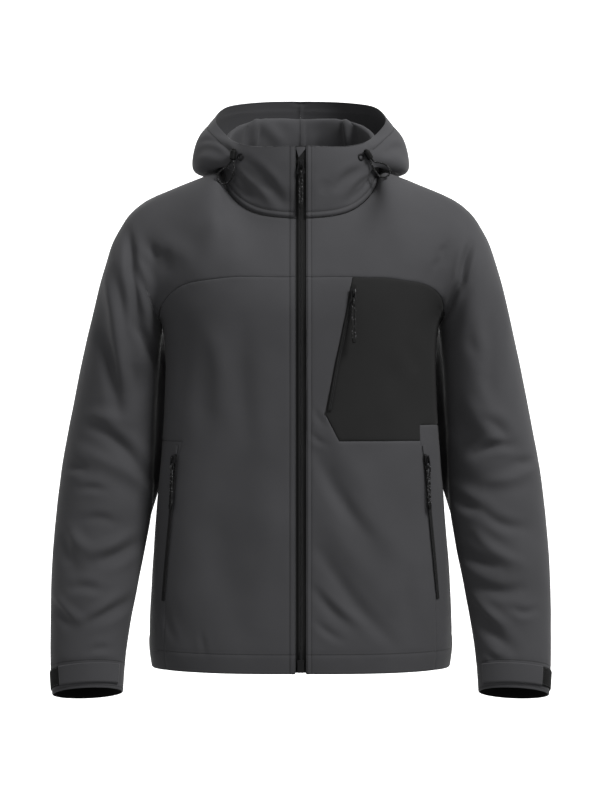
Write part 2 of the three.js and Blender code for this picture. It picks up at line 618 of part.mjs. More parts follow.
function frontRight() {
  const spots = YOKE_SEAM.right.line.map(locate);
  const start = { c: 0, v: locate(YOKE_SEAM.start).v };
  const armEnd = { c: 1, v: YOKE_SEAM.right.endV };
  const steps = STEPS.yokeInner + STEPS.yokeOuter;
  const seam = seamThrough([start, locate(YOKE_SEAM.inner), ...spots, armEnd], steps);
  const corner = locate(SIDE_TOP_RIGHT);
  const inner = seamThrough([{ c: 0, v: corner.v }, corner], steps - STEPS.sidePanel);
  const outer = row(corner.v, corner.c, 1, STEPS.sidePanel);
  const underarm = column(1, 1, armEnd.v, STEPS.underarm);
  const armColumn = join(column(1, corner.v, 1, STEPS.chest - STEPS.underarm), underarm);
  const side = sideSeam("right", corner);
  const hem = row(0, 0, side[0].c, inner.length - 1);
  const sideHem = row(0, side[0].c, 1, STEPS.sidePanel);
  return {
    front: [
      blockBetween(join(inner, outer), seam, column(0, corner.v, start.v, STEPS.chest), armColumn),
      blockBetween(hem, inner, column(0, 0, corner.v, STEPS.skirt), side),
    ],
    side: [blockBetween(sideHem, outer, side, column(1, 0, corner.v, STEPS.skirt))],
    yoke: yokeBlock(seam, armEnd.v),
    armhole: join(underarm, column(1, armEnd.v, 2, STEPS.armhole)),
    handSeam: side,
  };
}

const topRow = (steps) =>
  join(row(2, 0, NECK_SHARE, STEPS.neck), row(2, NECK_SHARE, 1, steps - STEPS.neck));

function yokeBlock(seam, endV) {
  const top = topRow(seam.length - 1);
  return [blockBetween(seam, top, column(0, seam[0].v, 2, STEPS.armhole), column(1, endV, 2, STEPS.armhole))];
}

// Sleeve and hood grids share the points of the panels that they are sewn to.
const BACK_ROWS = { skirt: 12, armhole: STEPS.armhole + STEPS.underarm };

function backGrid(folds) {
  const columns = topRow(STEPS.yokeInner + STEPS.yokeOuter).map((spot) => spot.c);
  const rows = join(column(0, 0, 1, BACK_ROWS.skirt), column(0, 1, 2, BACK_ROWS.armhole));
  const across = [...columns.slice(1).reverse().map((c) => [c, -1]), ...columns.map((c) => [c, 1])];
  return rows.map(({ v }) => across.map(([c, side]) => bodySpot(BACK, { c, v }, folds, side)));
}

const SLEEVE_ROWS = 22;

function roundArmhole(frontArmhole) {
  const front = frontArmhole.map(({ v }) => v - 1);
  const back = column(1, 1, 2, BACK_ROWS.armhole).map(({ v }) => 3 - v).reverse();
  return [...front, ...back.slice(1)];
}

function sleeveGrid(frontArmhole, folds) {
  const round = roundArmhole(frontArmhole);
  return Array.from({ length: SLEEVE_ROWS + 1 }, (_, i) => {
    const row = round.slice(0, -1).map((f) => sleeveSpot(f, i / SLEEVE_ROWS, folds));
    return [...row, row[0]];
  });
}

const HOOD_ROWS = 15;

function hoodGrid(folds) {
  const turns = Array.from({ length: 2 * STEPS.neck + 1 }, (_, j) => (90 * j) / STEPS.neck);
  return Array.from({ length: HOOD_ROWS + 1 }, (_, i) =>
    turns.map((turn) => hoodSpot(turn, i / HOOD_ROWS, folds)),
  );
}

// Strips, bands and hardware sit on stations: a place with the directions across, along and out.
function stationsOf(spots) {
  return spots.map(({ point, normal }, i) => {
    const before = spots[Math.max(i - 1, 0)].point;
    const after = spots[Math.min(i + 1, spots.length - 1)].point;
    const along = after.clone().sub(before).normalize();
    const across = along.clone().cross(normal).normalize();
    return { point, across, along, out: across.clone().cross(along).normalize() };
  });
}

// A closed outline of [across, out] pairs swept along the stations, with flat ends.
function strip(name, stations, outline, material, side = 1) {
  const count = outline.length;
  const positions = stations.flatMap(({ point, across, out }) =>
    outline.map(([a, o]) => point.clone().addScaledVector(across, a).addScaledVector(out, o)),
  );
  const index = [];
  for (let i = 0; i + 1 < stations.length; i += 1) {
    for (let j = 0; j < count; j += 1) {
      const a = i * count + j;
      const b = i * count + ((j + 1) % count);
      index.push(a, a + count, b, b, a + count, b + count);
    }
  }
  const last = (stations.length - 1) * count;
  const flat = outline.map(([a, o]) => new THREE.Vector2(a, o));
  for (const [a, b, c] of THREE.ShapeUtils.triangulateShape(flat, [])) {
    index.push(a, b, c, last + a, last + c, last + b);
  }
  return meshOf(name, positions, index, material, side);
}

const box = (fromA, toA, fromO, toO) => [[fromA, fromO], [toA, fromO], [toA, toO], [fromA, toO]];

// A station on the other side of the garment.
function mirrored(station) {
  const [point, along, out] = [station.point, station.along, station.out].map((v) =>
    v.clone().setX(-v.x),
  );
  return { point, along, out, across: along.clone().cross(out).normalize() };
}

// A mesh drawn in a station's own directions, across, along and out, and placed on it.
function placed(mesh, station) {
  const basis = new THREE.Matrix4().makeBasis(station.across, station.along, station.out);
  mesh.quaternion.setFromRotationMatrix(basis);
  mesh.position.copy(station.point);
  return mesh;
}

function plate(shape, fromOut, thickness, bevel) {
  const geometry = new THREE.ExtrudeGeometry(shape, {
    depth: thickness - 2 * bevel,
    bevelEnabled: bevel > 0,
    bevelThickness: bevel,
    bevelSize: bevel,
    bevelOffset: -bevel,
    bevelSegments: 1,
    curveSegments: 4,
  });
  return geometry.translate(0, 0, fromOut + bevel);
}

const wasm = await Module();
wasm.setup();

function solidOf(geometry) {
  const bare = (geometry.index ? geometry.toNonIndexed() : geometry.clone())
    .deleteAttribute("normal")
    .deleteAttribute("uv");
  const merged = mergeVertices(bare, 1e-4);
  const vertProperties = merged.getAttribute("position").array;
  return new wasm.Manifold(
    new wasm.Mesh({ numProp: 3, vertProperties, triVerts: new Uint32Array(merged.index.array) }),
  );
}

function joined(first, second) {
  const { vertProperties, triVerts } = solidOf(first).add(solidOf(second)).getMesh();
  const geometry = new THREE.BufferGeometry();
  geometry.setAttribute("position", new THREE.BufferAttribute(vertProperties, 3));
  geometry.setIndex(new THREE.BufferAttribute(triVerts, 1));
  return geometry;
}

function named(name, geometry, material) {
  const mesh = new THREE.Mesh(geometry, material);
  mesh.name = name;
  return mesh;
}

const shapeOf = (points) => new THREE.Shape(points.map(([a, b]) => new THREE.Vector2(a, b)));

function circleShape(radius, sides) {
  return shapeOf(
    Array.from({ length: sides }, (_, i) => {
      const angle = (2 * Math.PI * i) / sides;
      return [radius * Math.cos(angle), radius * Math.sin(angle)];
    }),
  );
}

function cordAlong(points, radius, sides, steps) {
  const path = new THREE.CatmullRomCurve3(points);
  const section = circleShape(radius, sides);
  return new THREE.ExtrudeGeometry(section, { steps, extrudePath: path, bevelEnabled: false });
}

const left = frontLeft();
const right = frontRight();
const leftFolds = [...FOLDS.front_left, ...FOLDS.yoke];
const rightFolds = [...FOLDS.front_right, ...FOLDS.yoke];
const addPanel = (name, blocks, folds, material, side) => {
  const grids = blocks.map((block) => gridOn(FRONT, block, folds));
  jacket.add(clothPiece(name, grids, material, side));
};
addPanel("front_left", left.front, leftFolds, SHELL, 1);
addPanel("pocket_panel", left.pocket, leftFolds, BLACK_SHELL, 1);
addPanel("side_panel_left", left.side, leftFolds, SHELL, 1);
addPanel("yoke_left", left.yoke, leftFolds, SHELL, 1);
addPanel("front_right", right.front, rightFolds, SHELL, -1);
addPanel("side_panel_right", right.side, rightFolds, SHELL, -1);
addPanel("yoke_right", right.yoke, rightFolds, SHELL, -1);
jacket.add(clothPiece("back", [backGrid(FOLDS.back)], SHELL, 1));
jacket.add(clothPiece("sleeve_left", [sleeveGrid(left.armhole, FOLDS.sleeve_left)], SHELL, 1));
jacket.add(clothPiece("sleeve_right", [sleeveGrid(right.armhole, FOLDS.sleeve_right)], SHELL, -1));
jacket.add(clothPiece("hood_left", [hoodGrid(FOLDS.hood_left)], SHELL, 1));
jacket.add(clothPiece("hood_right", [hoodGrid(FOLDS.hood_right)], SHELL, -1));

// Main zip: the line of the front edges, from the hem over the neck seam to the collar's top.
const MAIN_ZIP = { tapeWidth: 9.2, tapeBack: -3.5, tapeFront: -2.5, coilWidth: 3.3, coilFront: -0.6 };
const centreLine = [
  ...Array.from({ length: 24 }, (_, i) => smoothBody(FRONT, 0, 0.004 + (1.985 * i) / 23)),
  ...Array.from({ length: 6 }, (_, i) => hoodPoint(0, 0.03 + (0.965 * i) / 5)),
].map((point) => point.setX(0));
const zipStations = stationsOf(
  centreLine.map((point) => ({ point, normal: new THREE.Vector3(0, -1, 0) })),
);
const { tapeWidth, tapeBack, tapeFront, coilWidth, coilFront } = MAIN_ZIP;
const zipOutline = [
  [SEAM_GAP / 2, tapeBack], [tapeWidth, tapeBack], [tapeWidth, tapeFront],
  [coilWidth, tapeFront], [coilWidth, coilFront], [SEAM_GAP / 2, coilFront],
];
jacket.add(strip("zip_left", zipStations, zipOutline, TAPE, 1));
jacket.add(strip("zip_right", zipStations, zipOutline, TAPE, -1));

// The station on the main zip at a height.
function centreStation(up) {
  const after = zipStations.findIndex(({ point }) => point.z > up);
  const before = zipStations[after - 1];
  const share = (up - before.point.z) / (zipStations[after].point.z - before.point.z);
  return { ...before, point: before.point.clone().lerp(zipStations[after].point, share) };
}

const BOX = { up: -702, halfWidth: 4.6, halfHeight: 8.5, thickness: 2.8 };
const GARAGE = { up: 7, halfWidth: 6.3, top: 8, shoulder: 5, tip: -7, aside: -3, thickness: 1.2 };
const boxShape = shapeOf([
  [-BOX.halfWidth, -BOX.halfHeight], [BOX.halfWidth, -BOX.halfHeight],
  [BOX.halfWidth, BOX.halfHeight], [-BOX.halfWidth, BOX.halfHeight],
]);
const garageShape = shapeOf([
  [-GARAGE.halfWidth, GARAGE.shoulder], [GARAGE.aside, GARAGE.tip], [GARAGE.halfWidth, GARAGE.shoulder],
  [GARAGE.halfWidth, GARAGE.top], [-GARAGE.halfWidth, GARAGE.top],
]);
const overCoil = coilFront + SEAM_GAP;
const zipBox = named("zip_box", plate(boxShape, overCoil, BOX.thickness, 0.5), ENAMEL);
jacket.add(placed(zipBox, centreStation(BOX.up)));
const garage = named("zip_garage", plate(garageShape, overCoil, GARAGE.thickness, 0), SHELL);
jacket.add(placed(garage, centreStation(GARAGE.up)));

// Pocket zips lie on the panels beside their seams.
const POCKET_ZIP = { from: 0.9, to: 6.4, thickness: 1.2 };
const zipBand = box(POCKET_ZIP.from, POCKET_ZIP.to, LIFT, LIFT + POCKET_ZIP.thickness);
const onFront = (spots, folds) => stationsOf(spots.map((spot) => bodySpot(FRONT, spot, folds)));
const line = (places, steps) => seamThrough(places.map(locate), steps);
const chestLine = line([[36, -350], ...SLANT, [69.4, -177]], 12);
jacket.add(strip("chest_zip", onFront(chestLine, leftFolds), zipBand, TAPE));
const HANDS = [
  { side: 1, name: "left", folds: leftFolds },
  { side: -1, name: "right", folds: rightFolds },
];
for (const { side, name, folds } of HANDS) {
  const [top, middle, foot] = SIDE_LINE[name];
  const zip = onFront(line([foot, middle, top], 12), folds);
  jacket.add(strip(`hand_zip_${name}`, zip, zipBand, TAPE, side));
  const above = line([[top[0], top[1] + 1], [top[0] - 1.5, top[1] + 13]], 2);
  jacket.add(strip(`hand_garage_${name}`, onFront(above, folds), zipBand, SHELL, side));
}

// Sliders with an arch that holds the tab's top bar. Each tab carries a looped cord with an end.
const SLIDER = { top: 4.4, bottom: 3.6, half: 5.5, thickness: 3.2, bevel: 0.7 };
const ARCH = { width: 2, half: 3.4, leg: 1.2, opening: 2.4, roof: 1.2 };
const HINGE_OUT = SLIDER.thickness + ARCH.opening / 2; // above the slider's underside

function sliderGeometry() {
  const body = shapeOf([
    [-SLIDER.bottom, -SLIDER.half], [SLIDER.bottom, -SLIDER.half],
    [SLIDER.top, SLIDER.half], [-SLIDER.top, SLIDER.half],
  ]);
  const rise = ARCH.opening + ARCH.roof;
  const inner = ARCH.half - ARCH.leg;
  const sunk = -0.6; // the arch's feet reach into the body
  const arch = shapeOf([
    [-ARCH.half, sunk], [-inner, sunk], [-inner, ARCH.opening], [inner, ARCH.opening],
    [inner, sunk], [ARCH.half, sunk], [ARCH.half, rise - 1], [ARCH.half - 1.2, rise],
    [1.2 - ARCH.half, rise], [-ARCH.half, rise - 1],
  ]);
  const upright = new THREE.ExtrudeGeometry(arch, { depth: ARCH.width, bevelEnabled: false });
  upright.translate(0, 0, -ARCH.width / 2).rotateY(Math.PI / 2).rotateX(Math.PI / 2);
  upright.translate(0, 0, SLIDER.thickness);
  return joined(plate(body, 0, SLIDER.thickness, SLIDER.bevel), upright);
}

const TAB = { thickness: 1.2, bar: 1.3, side: 1.4, foot: 2.2 };

function tabGeometry({ topWidth, footWidth, length }) {
  const outer = shapeOf([
    [-topWidth / 2, TAB.bar / 2], [-footWidth / 2, 2 - length], [1.6 - footWidth / 2, -length],
    [footWidth / 2 - 1.6, -length], [footWidth / 2, 2 - length], [topWidth / 2, TAB.bar / 2],
  ]);
  const window = shapeOf([
    [-topWidth / 2 + TAB.side, -TAB.bar / 2], [topWidth / 2 - TAB.side, -TAB.bar / 2],
    [footWidth / 2 - TAB.side, TAB.foot - length], [TAB.side - footWidth / 2, TAB.foot - length],
  ]);
  outer.holes.push(window);
  return plate(outer, -TAB.thickness / 2, TAB.thickness, 0);
}

const PULL_CORD = { radius: 0.95, apart: 1.3, sides: 6, steps: 18 };
const PULL_END = { halfWidth: 3.1, length: 7.5, thickness: 3.6 };

// The cord goes up, over the tab's foot bar through its window, and down again beside itself.
function pullCordGeometry({ length, reach }) {
  const { radius, apart, sides, steps } = PULL_CORD;
  const foot = -length;
  const end = PULL_END.length + SEAM_GAP - reach;
  const half = [
    [apart, end, 0], [apart, (foot + end) / 2, 0], [apart, foot - 9, 0.3], [0.9, foot - 2, 2.2],
    [0.2, foot + 2.2, 2.4],
  ];
  const points = [
    ...half.map(([a, b, o]) => new THREE.Vector3(-a, b, o)),
    new THREE.Vector3(0, foot + 4.6, 0),
    ...half.reverse().map(([a, b, o]) => new THREE.Vector3(a, b, -o)),
  ];
  return cordAlong(points, radius, sides, steps);
}

function pullEndGeometry({ reach }) {
  const { halfWidth, length, thickness } = PULL_END;
  const shape = shapeOf([
    [-halfWidth, length - 1.5 - reach], [-halfWidth + 1.2, -reach], [halfWidth - 1.2, -reach],
    [halfWidth, length - 1.5 - reach], [halfWidth - 1, length - reach], [1 - halfWidth, length - reach],
  ]);
  return plate(shape, -thickness / 2, thickness, 0.6);
}

// A slider on its zip, and its pull in a group of its own whose place is the hinge.
function addPull(name, station, lift, sizes) {
  const seat = station.point.clone().addScaledVector(station.out, lift);
  jacket.add(placed(named(`${name}_slider`, sliderGeometry(), ENAMEL), { ...station, point: seat }));
  const pull = new THREE.Group();
  pull.name = `${name}_pull`;
  const hinge = seat.clone().addScaledVector(station.out, HINGE_OUT);
  placed(pull, { ...station, point: hinge });
  pull.add(named(`${name}_pull_tab`, tabGeometry(sizes), ENAMEL));
  pull.add(named(`${name}_pull_cord`, pullCordGeometry(sizes), CORD));
  pull.add(named(`${name}_pull_end`, pullEndGeometry(sizes), ENAMEL));
  jacket.add(pull);
}

const MAIN_PULL = { topWidth: 5.8, footWidth: 12.4, length: 14, reach: 62 };
const SMALL_PULL = { topWidth: 5.8, footWidth: 7.6, length: 13, reach: 70 };
const overBand = LIFT + POCKET_ZIP.thickness + SEAM_GAP;

// The station in the middle of a pocket zip at a place on its seam, its pull hanging straight down.
function pocketStation(place, folds) {
  const { point, normal } = bodySpot(FRONT, locate(place), folds);
  const across = new THREE.Vector3(0, 0, 1).cross(normal).normalize();
  const along = normal.clone().cross(across).normalize();
  const middle = (POCKET_ZIP.from + POCKET_ZIP.to) / 2;
  return { point: point.addScaledVector(across, middle), across, along, out: normal };
}

addPull("main", centreStation(-9), overCoil, MAIN_PULL);
addPull("chest", pocketStation([68, -189], leftFolds), overBand, SMALL_PULL);
addPull("hand_left", pocketStation([170.6, -419], leftFolds), overBand, SMALL_PULL);
addPull("hand_right", mirrored(pocketStation([172.4, -419], rightFolds)), overBand, SMALL_PULL);

// Hood drawcord, a like set on each side: an eyelet in the hood's front, a barrel lock beside it
// and a loop of elastic cord that hangs from the lock's foot.
const EYELET = { turn: 46, s: 0.71, inner: 2.4, outer: 5.6, thickness: 1.2 };
const LOCK = { turn: 51.5, s: 0.73, radius: 4.6, foot: -7, shoulder: 5.5, button: 3, head: 8.4 };
const DRAWCORD = { radius: 1.3, sides: 8, steps: 26 };
const LOOPS = {
  left: [
    [99.7, -66.2, 1.8], [101, -65.5, -0.4], [105, -65.2, -2.6], [110.5, -65, -3.4],
    [116.5, -64.5, -5], [122, -63.5, -8.6], [125, -62.5, -13.5], [124.4, -61.3, -18.6],
    [121, -60.4, -22.3], [116, -60, -23.8], [111, -60.3, -22.2], [106.8, -61.8, -18.4],
    [103.4, -63.6, -13.6], [100.6, -65.4, -8.4], [98.6, -66.9, -3.4], [97.5, -67.7, -0.4],
  ],
  right: [
    [-97.2, -68.2, -0.9], [-98.6, -67.2, -3.4], [-101.6, -66, -7], [-106, -64.4, -10.4],
    [-111, -62.6, -13.8], [-115.2, -60.6, -18], [-116.8, -59, -23], [-115.2, -57.6, -28.2],
    [-111.4, -56.8, -31.8], [-106.4, -57.4, -32.6], [-101.4, -59.4, -30], [-97.2, -62.4, -25.2],
    [-94.6, -65.4, -19.2], [-93.4, -67.8, -13], [-93.4, -69.2, -6.8], [-94, -69.8, -0.9],
  ],
};

function eyeletGeometry() {
  const profile = [
    [EYELET.inner, 0], [EYELET.outer, 0], [EYELET.outer - 0.5, EYELET.thickness - 0.2],
    [EYELET.inner + 0.6, EYELET.thickness], [EYELET.inner, 0],
  ].map(([r, out]) => new THREE.Vector2(r, out));
  return new THREE.LatheGeometry(profile, 14).rotateX(Math.PI / 2);
}

function lockGeometry(tilt) {
  const { radius, foot, shoulder, button, head } = LOCK;
  const profile = [
    [0, foot], [radius - 1, foot], [radius, foot + 1], [radius, shoulder - 1], [radius - 0.8, shoulder],
    [button, shoulder], [button, head - 0.8], [button - 0.7, head], [0, head],
  ].map(([r, along]) => new THREE.Vector2(r, along));
  return new THREE.LatheGeometry(profile, 12).rotateZ(radians(tilt));
}

function hoodStation({ turn, s }, lift) {
  const { point, normal } = hoodSpot(turn, s, []);
  const across = new THREE.Vector3(0, 0, 1).cross(normal).normalize();
  const along = normal.clone().cross(across).normalize();
  return { point: point.addScaledVector(normal, lift), across, along, out: normal };
}

// Cuff tabs: a strap over the front of each cuff that ends at a patch of loop tape.
const STRAP = { from: 0.17, to: 0.75, end: 1.06, low: 0.985, high: 0.93, wall: 1.5, tape: 1 };

function cuffBand(fromF, toF, armhole, folds, wall) {
  const rounds = roundArmhole(armhole).filter((f) => f > fromF + 0.02 && f < toF - 0.02);
  const places = [STRAP.high, (SLEEVE_ROWS - 1) / SLEEVE_ROWS, STRAP.low];
  return places.map((s) =>
    [fromF, ...rounds, toF].map((f) => {
      const { point, normal } = sleeveSpot(f, s, folds);
      return { point: point.addScaledVector(normal, LIFT + wall), normal };
    }),
  );
}

const SIDES = [
  { side: 1, name: "left", armhole: left.armhole, folds: FOLDS.sleeve_left, lockTilt: 35 },
  { side: -1, name: "right", armhole: right.armhole, folds: FOLDS.sleeve_right, lockTilt: 5 },
];
for (const { side, name, armhole, folds, lockTilt } of SIDES) {
  const strap = cuffBand(STRAP.from, STRAP.to, armhole, folds, STRAP.wall);
  jacket.add(clothPiece(`cuff_strap_${name}`, [strap], SHELL, side, STRAP.wall));
  const tape = cuffBand(STRAP.to, STRAP.end, armhole, folds, STRAP.tape);
  jacket.add(clothPiece(`loop_patch_${name}`, [tape], TAPE, side, STRAP.tape));
  const seat = (station) => (side > 0 ? station : mirrored(station));
  const eyelet = named(`eyelet_${name}`, eyeletGeometry(), ENAMEL);
  jacket.add(placed(eyelet, seat(hoodStation(EYELET, LIFT))));
  const lock = named(`cord_lock_${name}`, lockGeometry(lockTilt).rotateY(side > 0 ? 0 : Math.PI), ENAMEL);
  jacket.add(placed(lock, seat(hoodStation(LOCK, LIFT + LOCK.radius))));
  const route = LOOPS[name].map(([x, y, z]) => new THREE.Vector3(x, y, z));
  const loop = cordAlong(route, DRAWCORD.radius, DRAWCORD.sides, DRAWCORD.steps);
  jacket.add(named(`drawcord_${name}`, loop, CORD));
}

export default jacket;
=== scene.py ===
import json
import math

import bmesh
import bpy
import numpy as np
from mathutils import Matrix, Vector, noise
from mathutils.bvhtree import BVHTree
from mathutils.kdtree import KDTree


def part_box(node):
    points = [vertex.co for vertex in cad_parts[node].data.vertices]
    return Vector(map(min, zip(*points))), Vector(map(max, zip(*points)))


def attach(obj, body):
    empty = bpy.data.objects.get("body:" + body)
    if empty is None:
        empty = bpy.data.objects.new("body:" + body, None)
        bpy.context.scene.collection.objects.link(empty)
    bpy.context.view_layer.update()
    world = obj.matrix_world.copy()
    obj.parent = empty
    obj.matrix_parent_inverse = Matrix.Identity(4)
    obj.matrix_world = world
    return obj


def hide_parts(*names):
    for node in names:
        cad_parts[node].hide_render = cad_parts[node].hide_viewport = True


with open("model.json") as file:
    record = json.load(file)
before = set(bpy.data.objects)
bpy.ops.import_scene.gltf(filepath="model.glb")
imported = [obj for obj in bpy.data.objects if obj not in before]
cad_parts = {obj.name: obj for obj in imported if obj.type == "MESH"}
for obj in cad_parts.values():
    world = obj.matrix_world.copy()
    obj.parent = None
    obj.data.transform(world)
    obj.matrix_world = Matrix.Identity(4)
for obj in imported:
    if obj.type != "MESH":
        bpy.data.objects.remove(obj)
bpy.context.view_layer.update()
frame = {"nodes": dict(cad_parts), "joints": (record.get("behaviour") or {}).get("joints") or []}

# The camera stands level with the jacket's middle, 3.2 m in front of it, as for a catalogue picture.
VIEW_DISTANCE = 3.2
VIEW_LEVEL = -0.336
VIEW_ASIDE = -0.001
VIEW_TALL = 1.144  # what the picture's height covers at the jacket's middle
camera = bpy.data.cameras.new("camera")
camera.sensor_fit = "VERTICAL"
camera.sensor_height = 36
camera.lens = camera.sensor_height * VIEW_DISTANCE / VIEW_TALL
viewer = bpy.data.objects.new("camera", camera)
viewer.location = (VIEW_ASIDE, -VIEW_DISTANCE, VIEW_LEVEL)
viewer.rotation_euler = (math.radians(90), 0, 0)
bpy.context.scene.collection.objects.link(viewer)
bpy.context.scene.camera = viewer
bpy.context.scene.view_settings.view_transform = "Standard"


# Hood drawcord: a loop of black elastic cord with pale flecks hangs from each lock. Both its ends go
# into the lock's foot, so it is a short free cord that ends in the jacket.
MM = 0.001
CORD_RADIUS = 1.3 * MM
BRAID_BLACK = (0.012, 0.012, 0.012)
FLECK_GREY = (0.11, 0.11, 0.115)
LOOPS = {  # side: the route from the lock and back to it, in millimetres
    "left": [
        (99.7, -66.2, 1.8), (101, -65.5, -0.4), (105, -65.2, -2.6), (110.5, -65, -3.4),
        (116.5, -64.5, -5), (122, -63.5, -8.6), (125, -62.5, -13.5), (124.4, -61.3, -18.6),
        (121, -60.4, -22.3), (116, -60, -23.8), (111, -60.3, -22.2), (106.8, -61.8, -18.4),
        (103.4, -63.6, -13.6), (100.6, -65.4, -8.4), (98.6, -66.9, -3.4), (97.5, -67.7, -0.4),
    ],
    "right": [
        (-97.2, -68.2, -0.9), (-98.6, -67.2, -3.4), (-101.6, -66, -7), (-106, -64.4, -10.4),
        (-111, -62.6, -13.8), (-115.2, -60.6, -18), (-116.8, -59, -23), (-115.2, -57.6, -28.2),
        (-111.4, -56.8, -31.8), (-106.4, -57.4, -32.6), (-101.4, -59.4, -30), (-97.2, -62.4, -25.2),
        (-94.6, -65.4, -19.2), (-93.4, -67.8, -13), (-93.4, -69.2, -6.8), (-94, -69.8, -0.9),
    ],
}


def rounded_line(points, steps=5):
    """A smooth line through points, with that many steps between two of them."""
    line = []
    ends = [points[0] * 2 - points[1], *points, points[-1] * 2 - points[-2]]
    for a, b, c, d in zip(ends, ends[1:], ends[2:], ends[3:]):
        for i in range(steps):
            t = i / steps
            line.append(
                b + 0.5 * t * (c - a + t * (2 * a - 5 * b + 4 * c - d + t * (3 * b - a - 3 * c + d)))
            )
    return [*line, points[-1]]


def cord_on(name, line, radius):
    """A round cord as a curve of one open spline."""
    curve = bpy.data.curves.new(name, "CURVE")
    curve.dimensions = "3D"
    curve.bevel_depth = radius
    curve.bevel_resolution = 3
    curve.use_fill_caps = True
    spline = curve.splines.new("POLY")
    spline.points.add(len(line) - 1)
    for point, place in zip(spline.points, line):
        point.co = (*place, 1)
    cord = bpy.data.objects.new(name, curve)
    bpy.context.scene.collection.objects.link(cord)
    return cord


def material_with(name, color, roughness, **more):
    """A node material. more holds further inputs of its shader by their names."""
    material = bpy.data.materials.new(name)
    material.use_nodes = True
    shader = material.node_tree.nodes["Principled BSDF"]
    shader.inputs["Base Color"].default_value = (*color, 1)
    shader.inputs["Roughness"].default_value = roughness
    for key, value in more.items():
        shader.inputs[key.replace("_", " ")].default_value = value
    return material, shader


def add_node(material, kind, **inputs):
    node = material.node_tree.nodes.new(kind)
    for key, value in inputs.items():
        node.inputs[key.replace("_", " ")].default_value = value
    return node


def wire(material, source, out, target, into):
    material.node_tree.links.new(source.outputs[out], target.inputs[into])


def object_coordinates(material, scale=(1, 1, 1)):
    place = material.node_tree.nodes.new("ShaderNodeTexCoord")
    mapping = add_node(material, "ShaderNodeMapping", Scale=scale)
    wire(material, place, "Object", mapping, "Vector")
    return mapping


def bumped(material, shader, texture, strength, distance, out="Fac"):
    bump = add_node(material, "ShaderNodeBump", Strength=strength, Distance=distance)
    wire(material, texture, out, bump, "Height")
    wire(material, bump, "Normal", shader, "Normal")


def flecked_cord_material():
    """Black braid with pale reflective flecks."""
    material, shader = material_with("cord_braid", BRAID_BLACK, 0.75, Specular_IOR_Level=0.12)
    place = object_coordinates(material)
    flecks = add_node(material, "ShaderNodeTexVoronoi", Scale=430, Randomness=0.7)
    wire(material, place, "Vector", flecks, "Vector")
    ramp = add_node(material, "ShaderNodeValToRGB")
    stops = zip(ramp.color_ramp.elements, (0.24, 0.3), (FLECK_GREY, BRAID_BLACK))
    for element, position, color in stops:
        element.position = position
        element.color = (*color, 1)
    wire(material, flecks, "Distance", ramp, "Fac")
    wire(material, ramp, "Color", shader, "Base Color")
    braid = add_node(material, "ShaderNodeTexVoronoi", Scale=1500)
    wire(material, place, "Vector", braid, "Vector")
    bumped(material, shader, braid, 0.6, 0.0003, "Distance")
    return material


braid = flecked_cord_material()
for side, points in LOOPS.items():
    line = rounded_line([Vector(point) * MM for point in points])
    loop = cord_on("hood_drawcord_" + side, line, CORD_RADIUS)
    loop.data.materials.append(braid)
    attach(loop, "jacket")
    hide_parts("drawcord_" + side)


# The garment's cloth: softshell, a smooth woven face bonded to fleece, 1.7 mm thick. The panels are
# cut flat and sewn edge to edge. Their outsides are joined here for shaping, so that folds and the
# surface run on over each seam, and are parted again at the seams.
CLOTH_THICK = 1.7 * MM
SAME_POINT = 0.01 * MM
PROBE_START = 0.2 * MM  # a probe through a wall starts this far inside it
PROBE_REACH = 3 * MM  # and has met its other side by here
OPPOSED = -0.8  # the two sides face apart, by the product of their normals
RIM_ANGLE = math.radians(60)  # a wall's rim turns from its sides by more than this
QUAD_ANGLE = math.radians(80)  # two triangles that turn by less than this are joined as one quad
FROM_FRONT = (0, -1, 0)
FROM_BACK = (0, 1, 0)
PANELS = {  # panel: (side that the probe looks from, place that it looks at, or None for the middle)
    "front_left": (FROM_FRONT, None),
    "front_right": (FROM_FRONT, None),
    "pocket_panel": (FROM_FRONT, None),
    "side_panel_left": (FROM_FRONT, None),
    "side_panel_right": (FROM_FRONT, None),
    "yoke_left": (FROM_FRONT, None),
    "yoke_right": (FROM_FRONT, None),
    "back": (FROM_BACK, None),
    "sleeve_left": (FROM_FRONT, None),
    "sleeve_right": (FROM_FRONT, None),
    "hood_left": (FROM_FRONT, (0.06, 0)),
    "hood_right": (FROM_FRONT, (-0.06, 0)),
}
NUMBER = {panel: number for number, panel in enumerate(PANELS)}
SLEEVES = {NUMBER["sleeve_left"], NUMBER["sleeve_right"]}
HOODS = {NUMBER["hood_left"], NUMBER["hood_right"]}


def merged_copy(node):
    bm = bmesh.new()
    bm.from_mesh(frame["nodes"][node].data)
    bmesh.ops.remove_doubles(bm, verts=bm.verts, dist=SAME_POINT)
    return bm


